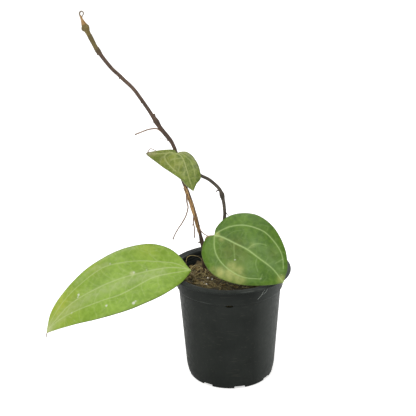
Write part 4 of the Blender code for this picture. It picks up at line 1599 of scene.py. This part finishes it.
@dataclass
class Vines:
    """The main vine, the arching stem, the growing tip and the leaf stalks."""

    radius: float = 1.35
    main: tuple[Place, ...] = (
        (-20.4, 5.0, 89.0), (-21.5, 3.4, 104.0), (-22.9, 2.0, 118.5), (-25.5, 1.0, 132.6),
        (-28.5, 1.0, 145.0),
        (-33.0, 1.0, 160.5), (-36.4, 1.0, 170.0), (-38.9, 1.0, 181.5), (-41.5, 1.0, 193.5),
        (-45.1, 1.0, 203.5),
        (-52.4, 2.0, 212.8), (-57.8, 3.0, 221.7), (-63.6, 4.0, 231.2), (-71.8, 5.0, 243.3),
        (-82.3, 6.0, 254.4),
        (-91.2, 7.0, 263.3), (-100.1, 8.0, 275.6), (-104.3, 9.0, 284.0), (-105.9, 9.0, 287.6))
    arch: tuple[Place, ...] = (
        (-37.0, 1.0, 180.3), (-29.3, 1.0, 177.9), (-21.7, 2.0, 174.3), (-15.0, 2.0, 170.6),
        (-8.3, 2.0, 163.6),
        (-6.0, 2.0, 159.2), (-4.3, 2.0, 153.2), (-3.5, 2.0, 146.0), (-4.0, 2.2, 134.0), (-5.9, 3.0, 112.0),
        (-7.0, 4.0, 89.0))

    def beside(self, height: float, turn: float, away: float) -> Vector:
        """A point beside the main vine.

        Args:
            height: its height.
            turn: its angle round the vine, from the front.
            away: its distance from the vine's axis.

        Returns:
            The point.
        """
        path = smooth_path(self.main, 6)
        heights = [point.z for point in path]
        centre = Vector([np.interp(height, heights, [point[axis] for point in path]) for axis in range(3)])
        above = Vector([np.interp(height + 6.0, heights,
                                  [point[axis] for point in path]) for axis in range(3)])
        tangent = (above - centre).normalized()
        front = (Vector((0.0, -1.0, 0.0)) + tangent * tangent.y).normalized()
        return centre + (front * math.cos(turn) + tangent.cross(front) * math.sin(turn)) * away

    def build_stems(self, finish: Bark, arch_finish: Bark) -> list[Piece]:
        """The two woody stems.

        Args:
            finish: the main vine's bark.
            arch_finish: the arching stem's bark.

        Returns:
            The pieces.
        """
        joints = ((0.03, 0.5, 0.02), (0.13, 0.45, 0.015), (0.45, 0.55, 0.02), (0.565, 0.34, 0.045),
                  (0.619, 0.68, 0.017),
                  (0.938, 0.6, 0.012), (0.99, 0.38, 0.04))
        main = Strand(self.main, self.radius, 1.12 * self.radius, 16, 0.9, joints, 0.3, 0.05, 2.0)
        knob = Strand([self.beside(116.5, Turn.LEFT.value, 1.2), self.beside(117.0, Turn.LEFT.value, 3.0)],
                      0.8,
                      0.55, 8, 0.5)
        scars = [Strand([self.beside(height, turn, 1.3), self.beside(height + lean, turn, reach)], 0.85,
                        0.5, 8,
                        0.4) for height, turn, reach, lean in
                 ((223.2, 1.4, 2.1, 1.6), (220.6, -1.4, 2.1, -0.8), (276.0, 1.3, 2.0, 1.4),
                  (273.8, -1.5, 2.0, -0.6),
                  (255.0, -1.4, 1.7, 0.3), (235.6, -1.2, 1.7, 0.5), (204.5, -2.6, 2.0, 0.8))]
        arch_joints = ((0.375, 0.75, 0.026), (0.12, 0.25, 0.02), (0.62, 0.2, 0.02))
        arch = Strand(self.arch, self.radius, 1.05 * self.radius, 16, 0.9, arch_joints, 0.4, 0.06, 5.0)
        stub = Strand([(-7.2, 1.8, 161.6), (-9.2, 0.6, 162.0), (-10.6, 0.0, 160.4)], 0.8, 0.25, 8, 0.5)
        twig = Strand([(-3.6, 1.6, 144.0), (-2.2, 0.8, 142.4), (-0.3, -1.0, 140.6)], 0.4, 0.25, 6, 0.6)
        return [build_strands([main, knob, *scars], "main_vine_wood", finish.material(), Slot.STEM,
                              ["main_vine"]),
                build_strands([arch, stub, twig], "arch_stem_wood", arch_finish.material(), Slot.STEM,
                              ["arch_stem", "arch_stub", "arch_root"])]

    def build_tip(self, finish: Bark, dry_finish: Bark) -> list[Piece]:
        """The bud at the vine's end with its folded scales, and its dry hook.

        Args:
            finish: the bud's finish.
            dry_finish: the hook's finish.

        Returns:
            The pieces.
        """
        core = [(-105.7, 9.0, 287.2), (-107.4, 9.0, 290.8), (-109.2, 9.0, 294.2), (-110.6, 9.0, 298.4),
                (-111.2, 9.0, 300.6), (-111.8, 9.0, 302.2)]
        bud = Strand(core, 1.6, 0.75, 18, 0.5, ((0.4, 1.95, 0.13), (0.14, 0.35, 0.15)), 0.0, 0.1, 3.0)
        scales = [Strand([(-106.8 + dx, 9.0 + dy, 290.6), (-108.2 + 2.2 * dx, 9.0 + 2.4 * dy, 293.2),
                          (-109.6 + 1.7 * dx, 9.0 + 1.8 * dy, 296.2),
                          (-110.7 + 0.8 * dx, 9.0 + 0.7 * dy, 299.4)],
                         0.5, 0.25, 8, 0.7, ((0.4, 0.4, 0.25),))
                  for dx, dy in ((0.9, 0.3), (-0.9, 0.2), (0.2, -0.95), (0.0, 0.95))]
        hook = Strand([(-111.5, 9.0, 301.4), (-112.3, 9.0, 303.4), (-112.0, 9.0, 304.8), (-110.8, 9.0, 305.6),
                       (-109.6, 9.0, 305.0), (-109.3, 9.0, 303.8), (-109.9, 8.8, 302.6),
                       (-110.7, 8.5, 301.2)],
                      0.62, 0.34, 8, 0.5)
        return [build_strands([bud, *scales], "growing_tip_bud", finish.material(), Slot.TIP,
                              ["growing_tip"]),
                build_strands([hook], "dry_tip_hook", dry_finish.material(), Slot.TIP, ["tip_hook"])]

    def build_stalks(self, finish: Bark, blades: Sequence[LeafBlade]) -> Piece:
        """The three leaf stalks, each running into the back of its blade.

        Args:
            finish: their finish.
            blades: the long, round and small blades.

        Returns:
            The piece.
        """
        far, round_one, small = blades
        under = [blade.point(u, v) - blade.normal * 1.2 for blade, u, v in
                 ((far, 6.0, -3.0), (round_one, 1.8, 1.0), (small, 3.0, 0.5))]
        foot = Vector((-29.5, -13.0, 88.6))
        stalks = [Strand([foot, foot + Vector((-0.5, -0.6, 4.4)), under[0]], 1.3, 1.15, 12, 0.8, (), 0.2,
                         0.05, 1.0),
                  Strand([self.beside(109.0, 0.6, 0.9), (-19.4, -4.0, 115.0), (-19.2, -9.0, 122.6),
                          (-17.4, -12.8, 127.2), under[1]], 1.15, 0.95, 12, 0.8,
                         ((0.0, 0.4, 0.08), (1.0, 0.2, 0.1)), 0.2, 0.05, 4.0),
                  Strand([self.beside(190.6, Turn.FRONT.value, 0.9), (-40.4, -2.8, 191.8), under[2]], 1.05,
                         0.9, 12, 0.6)]
        return build_strands(stalks, "leaf_stalks", finish.material(), Slot.TIP,
                             ["petiole_long", "petiole_round", "petiole_small"])


@dataclass
class AerialRoots:
    """Roots in the air: the bundle that clings to the main vine, loose hairs, and the leaves' dry threads."""

    vines: Vines
    strands: int = 11
    first_turn: float = -2.0
    turn_step: float = 0.23
    seed: int = 5

    def build_bundle(self, finish: Bark) -> Piece:
        """The clinging bundle.

        Args:
            finish: its finish.

        Returns:
            The piece.
        """
        dice = random.Random(self.seed)
        strands = []
        for index in range(self.strands):
            turn = self.first_turn + self.turn_step * index
            top = dice.uniform(158.0, 167.0)
            bottom = dice.uniform(112.0, 132.0) if index % 3 else dice.uniform(132.0, 146.0)
            thick = dice.uniform(0.28, 0.5)
            away = self.vines.radius + 0.7 * thick
            points = [self.vines.beside(top + (bottom - top) * step / 6.0, turn + dice.gauss(0.0, 0.16),
                                        away + dice.uniform(0.0, 0.35)) for step in range(7)]
            strands.append(Strand(points, thick, 0.7 * thick, 8, 1.0, (), 0.3, 0.08, 7.0 * index))
        nodes = [f"clinging_root_{index}" for index in range(1, 4)]
        return build_strands(strands, "clinging_root_bundle", finish.material(), Slot.ROOT, nodes)

    def build_hairs(self, finish: Bark) -> Piece:
        """The loose hanging roots and side roots.

        Args:
            finish: their finish.

        Returns:
            The piece.
        """
        beside = self.vines.beside
        routes = (
            ([(-34.2, -1.8, 160.0), (-34.0, -3.4, 154.0), (-33.1, -3.6, 149.2), (-34.6, -4.0, 143.4),
              (-38.2, -4.0, 136.4), (-41.4, -4.5, 131.6), (-44.2, -5.6, 127.2), (-46.1, -6.0, 122.7)], 0.68,
              0.42),
            ([(-28.6, -1.8, 141.4), (-29.1, -3.2, 135.6), (-28.3, -3.2, 131.8), (-28.5, -3.0, 122.8)], 0.6,
             0.5),
            ([(-29.0, -3.2, 136.2), (-29.6, -3.3, 134.6), (-30.4, -3.2, 133.6)], 0.4, 0.3),
            ([beside(131.6, 1.2, 1.2), (-24.1, -4.0, 131.3), (-21.5, -6.0, 128.0), (-17.8, -10.0, 126.9),
              (-14.6, -14.0, 127.6)], 0.42, 0.4),
            ([beside(212.4, -1.0, 1.1), (-56.0, -1.0, 214.8), (-59.8, -2.0, 215.1), (-65.6, -3.0, 213.9),
              (-73.2, -4.0, 211.2)], 0.6, 0.5),
            ([beside(204.2, -1.57, 1.1), (-50.5, 0.5, 206.0), (-54.0, 0.0, 206.5)], 0.25, 0.15),
            ([beside(215.5, -2.2, 1.1), (-55.8, 2.6, 217.6), (-57.6, 3.2, 217.2)], 0.3, 0.18))
        strands = [Strand(points, start, end, 7, 1.0, ((1.0, 0.12, 0.05),), 0.35, 0.1, 10.0 + index)
                   for index, (points, start, end) in enumerate(routes)]
        nodes = [f"hanging_root_{index}" for index in range(1, 4)] + ["vine_root_1", "vine_root_2"]
        return build_strands(strands, "loose_root_hairs", finish.material(), Slot.ROOT, nodes)

    def build_threads(self, finish: Bark, far: LeafBlade, small: LeafBlade) -> Piece:
        """The dry thread at the end of each pointed leaf.

        Args:
            finish: their finish.
            far: the long blade.
            small: the small blade.

        Returns:
            The piece.
        """
        corner = small.point(-12.0, -22.0, 0.9)
        curl = [corner + Vector(step) for step in ((0.5, 0.0, 0.0), (1.0, 0.0, 1.6), (3.0, 0.0, 3.7),
                                                   (5.6, 0.0, 2.8),
                                                   (8.2, 0.0, 1.4))]
        end = far.point(far.length - 1.5, -0.4, 0.9)
        drip = [end, end + Vector((-1.6, -0.3, -2.6)), end + Vector((-2.6, -0.5, -7.2))]
        strands = [Strand(curl, 0.42, 0.25, 7, 0.7, (), 0.2), Strand(drip, 0.5, 0.25, 7, 0.7, (), 0.1)]
        return build_strands(strands, "leaf_tip_threads", finish.material(), Slot.ROOT,
                             ["leaf_small_thread", "leaf_long_thread"])


# ---------------------------------------------------------------- studio


@dataclass(frozen=True)
class Softbox:
    """A square soft lamp: its name, its place and side in metres, and its power in watts."""

    name: str
    place: Place
    side: float
    power: float


@dataclass
class Studio:
    """The pale ground, soft lights and camera."""

    elevation: float = math.radians(19.97)
    tilt: float = math.radians(-1.07)
    distance: float = 0.762
    aim: Place = (-0.017, 0.028, 0.1371)
    lens: float = 77.9
    world_strength: float = 0.55
    seen_strength: float = 1.05
    lamps: tuple[Softbox, ...] = (Softbox("overhead_softbox", (-0.15, 0.25, 1.65), 1.8, 15.0),
                                  Softbox("front_softbox", (-0.5, -1.15, 1.3), 1.0, 9.0))

    def build(self) -> None:
        """Set the stage."""
        self._ground()
        self._world()
        for lamp in self.lamps:
            self._hang(lamp)
        self._camera()
        bpy.context.scene.view_settings.view_transform = "Standard"

    def _ground(self) -> None:
        """A wide pale floor under the pot."""
        mesh_data = bmesh.new()
        bmesh.ops.create_grid(mesh_data, x_segments=4, y_segments=4, size=9.0)
        mesh = bpy.data.meshes.new("paper_floor")
        mesh_data.to_mesh(mesh)
        mesh_data.free()
        mesh.materials.append(StudioPaper().material())
        floor = bpy.data.objects.new("paper_floor", mesh)
        floor.location.z = CAD_BOX[0][2] - 0.0002
        bpy.context.collection.objects.link(floor)

    def _world(self) -> None:
        """Even white surroundings."""
        world = bpy.data.worlds.new("white_room")
        world.use_nodes = True
        back = world.node_tree.nodes["Background"]
        back.inputs["Color"].default_value = (1.0, 1.0, 1.0, 1.0)
        graph = Graph(world.node_tree)
        seen = graph.node("ShaderNodeLightPath").outputs["Is Camera Ray"]
        graph.join(graph.span(seen, 0.0, 1.0, self.world_strength, self.seen_strength),
                   back.inputs["Strength"])
        bpy.context.scene.world = world

    def _hang(self, lamp: Softbox) -> None:
        """Hang a lamp so that it faces the plant.

        Args:
            lamp: the lamp.
        """
        data = bpy.data.lights.new(lamp.name, "AREA")
        data.size = lamp.side
        data.energy = lamp.power
        holder = bpy.data.objects.new(lamp.name, data)
        holder.location = lamp.place
        holder.rotation_euler = (Vector(self.aim) - Vector(lamp.place)).to_track_quat("-Z", "Y").to_euler()
        bpy.context.collection.objects.link(holder)

    def _camera(self) -> None:
        """The camera, in front of the plant and a little above it."""
        data = bpy.data.cameras.new("view")
        data.lens = self.lens
        camera = bpy.data.objects.new("view", data)
        back = Vector((0.0, -math.cos(self.elevation), math.sin(self.elevation)))
        camera.location = Vector(self.aim) + back * self.distance
        turn = Matrix.Rotation(0.5 * math.pi - self.elevation, 4, "X") @ Matrix.Rotation(self.tilt, 4, "Z")
        camera.rotation_euler = turn.to_euler()
        bpy.context.collection.objects.link(camera)
        bpy.context.scene.camera = camera


# ---------------------------------------------------------------- assembly


def finishes() -> dict[str, object]:
    """Every finish but the pot's and the paper's.

    Returns:
        The finishes by use.
    """
    return {
        "mix": Crumble("mix_crumble", (0.015, 0.0115, 0.0028), (0.108, 0.08, 0.018), (0.32, 0.25, 0.085),
                       170.0, 0.4),
        "chips": Crumble("bark_crumble", (0.032, 0.021, 0.005), (0.19, 0.13, 0.033), (0.4, 0.31, 0.11),
                         130.0, 0.36),
        "perlite": Crumble("perlite_crumble", (0.6, 0.57, 0.5), (0.85, 0.82, 0.76), (0.9, 0.9, 0.88), 600.0,
                           0.4),
        "lint": Crumble("pale_lint", (0.22, 0.24, 0.22), (0.32, 0.35, 0.32), (0.38, 0.4, 0.38), 900.0, 0.3),
        "fibre": Bark("coir_fibre", (0.15, 0.1, 0.033), (0.52, 0.42, 0.18), (0.52, 0.42, 0.18)),
        "wood": Bark("vine_bark", (0.034, 0.02, 0.013), (0.165, 0.1, 0.066), (0.21, 0.165, 0.05), 0.94),
        "arch_wood": Bark("arch_bark", (0.03, 0.023, 0.016), (0.13, 0.105, 0.075), (0.13, 0.105, 0.075)),
        "tip": Bark("young_bark", (0.12, 0.085, 0.022), (0.34, 0.25, 0.075), (0.44, 0.26, 0.1), 0.57),
        "dry_tip": Bark("dry_tip_bark", (0.12, 0.085, 0.045), (0.3, 0.23, 0.14), (0.3, 0.23, 0.14)),
        "stalk": Bark("stalk_bark", (0.22, 0.17, 0.08), (0.42, 0.34, 0.18), (0.42, 0.34, 0.18)),
        "root": Bark("tan_root", (0.15, 0.075, 0.028), (0.86, 0.54, 0.23), (0.86, 0.54, 0.23)),
        "hair": Bark("hair_root", (0.12, 0.07, 0.045), (0.38, 0.25, 0.17), (0.38, 0.25, 0.17)),
        # the edge colour is a dark painted shade along the rolled margin; the pale grey-green is partly
        # painted sheen
        "long_top": LeafSkin("long_leaf_skin", (0.178, 0.298, 0.024), (0.252, 0.396, 0.044),
                             (0.52, 0.61, 0.26),
                             stain=(0.55, 0.57, 0.28), warm=(0.4, 0.45, 0.05), sheen_and_bloom=(0.37, 0.44, 0.19),
                             edge=(0.06, 0.09, 0.014), net_share=0.17, mottle_scale=0.05),
        "long_under": LeafSkin("long_leaf_underside", (0.16, 0.24, 0.06), (0.23, 0.32, 0.1),
                               (0.34, 0.42, 0.18),
                               gloss=0.5),
        "round_top": LeafSkin("round_leaf_skin", (0.056, 0.13, 0.005), (0.1, 0.2, 0.012), (0.42, 0.57, 0.2),
                              stain=(0.42, 0.44, 0.13), warm=(0.115, 0.125, 0.012), sheen_and_bloom=(0.19, 0.3, 0.1),
                              edge=(0.13, 0.18, 0.05), net_share=0.12, mottle_scale=0.045),
        "round_under": LeafSkin("round_leaf_underside", (0.12, 0.19, 0.06), (0.18, 0.26, 0.1),
                                (0.3, 0.38, 0.17),
                                gloss=0.5),
        # the edge colour is a dark painted shade along the rolled margin; the pale grey-green is partly
        # painted sheen
        "small_top": LeafSkin("small_leaf_skin", (0.085, 0.135, 0.014), (0.215, 0.27, 0.045),
                              (0.46, 0.5, 0.2),
                              stain=(0.34, 0.29, 0.2), warm=(0.24, 0.25, 0.04), sheen_and_bloom=(0.3, 0.29, 0.18),
                              edge=(0.08, 0.065, 0.035), net_share=0.3, mottle_scale=0.16),
        "small_under": LeafSkin("small_leaf_underside", (0.14, 0.19, 0.06), (0.21, 0.26, 0.1),
                                (0.32, 0.38, 0.18),
                                gloss=0.5)}


def report_sizes() -> None:
    """Update the view layer."""
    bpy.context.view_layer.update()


def main() -> None:
    """Build every piece in order."""
    logging.basicConfig(level=logging.INFO, format="%(name)s %(message)s")
    coats = finishes()
    pot = NurseryPot()
    pot.build()
    mix = PottingMix(pot)
    mix.build_bed(coats["mix"])
    mix.build_chips(coats["chips"])
    mix.build_perlite(coats["perlite"])
    mix.build_fibres(coats["fibre"])
    mix.build_lint(coats["lint"])
    blades = (long_leaf(), round_leaf(), small_leaf())
    for blade, kind in zip(blades, ("long", "round", "small")):
        blade.build(coats[f"{kind}_top"], coats[f"{kind}_under"])
    vines = Vines()
    vines.build_stems(coats["wood"], coats["arch_wood"])
    vines.build_tip(coats["tip"], coats["dry_tip"])
    vines.build_stalks(coats["stalk"], blades)
    roots = AerialRoots(vines)
    roots.build_bundle(coats["root"])
    roots.build_hairs(coats["hair"])
    roots.build_threads(coats["hair"], blades[0], blades[2])
    Studio().build()
    report_sizes()


if __name__ == "__main__":
    main()
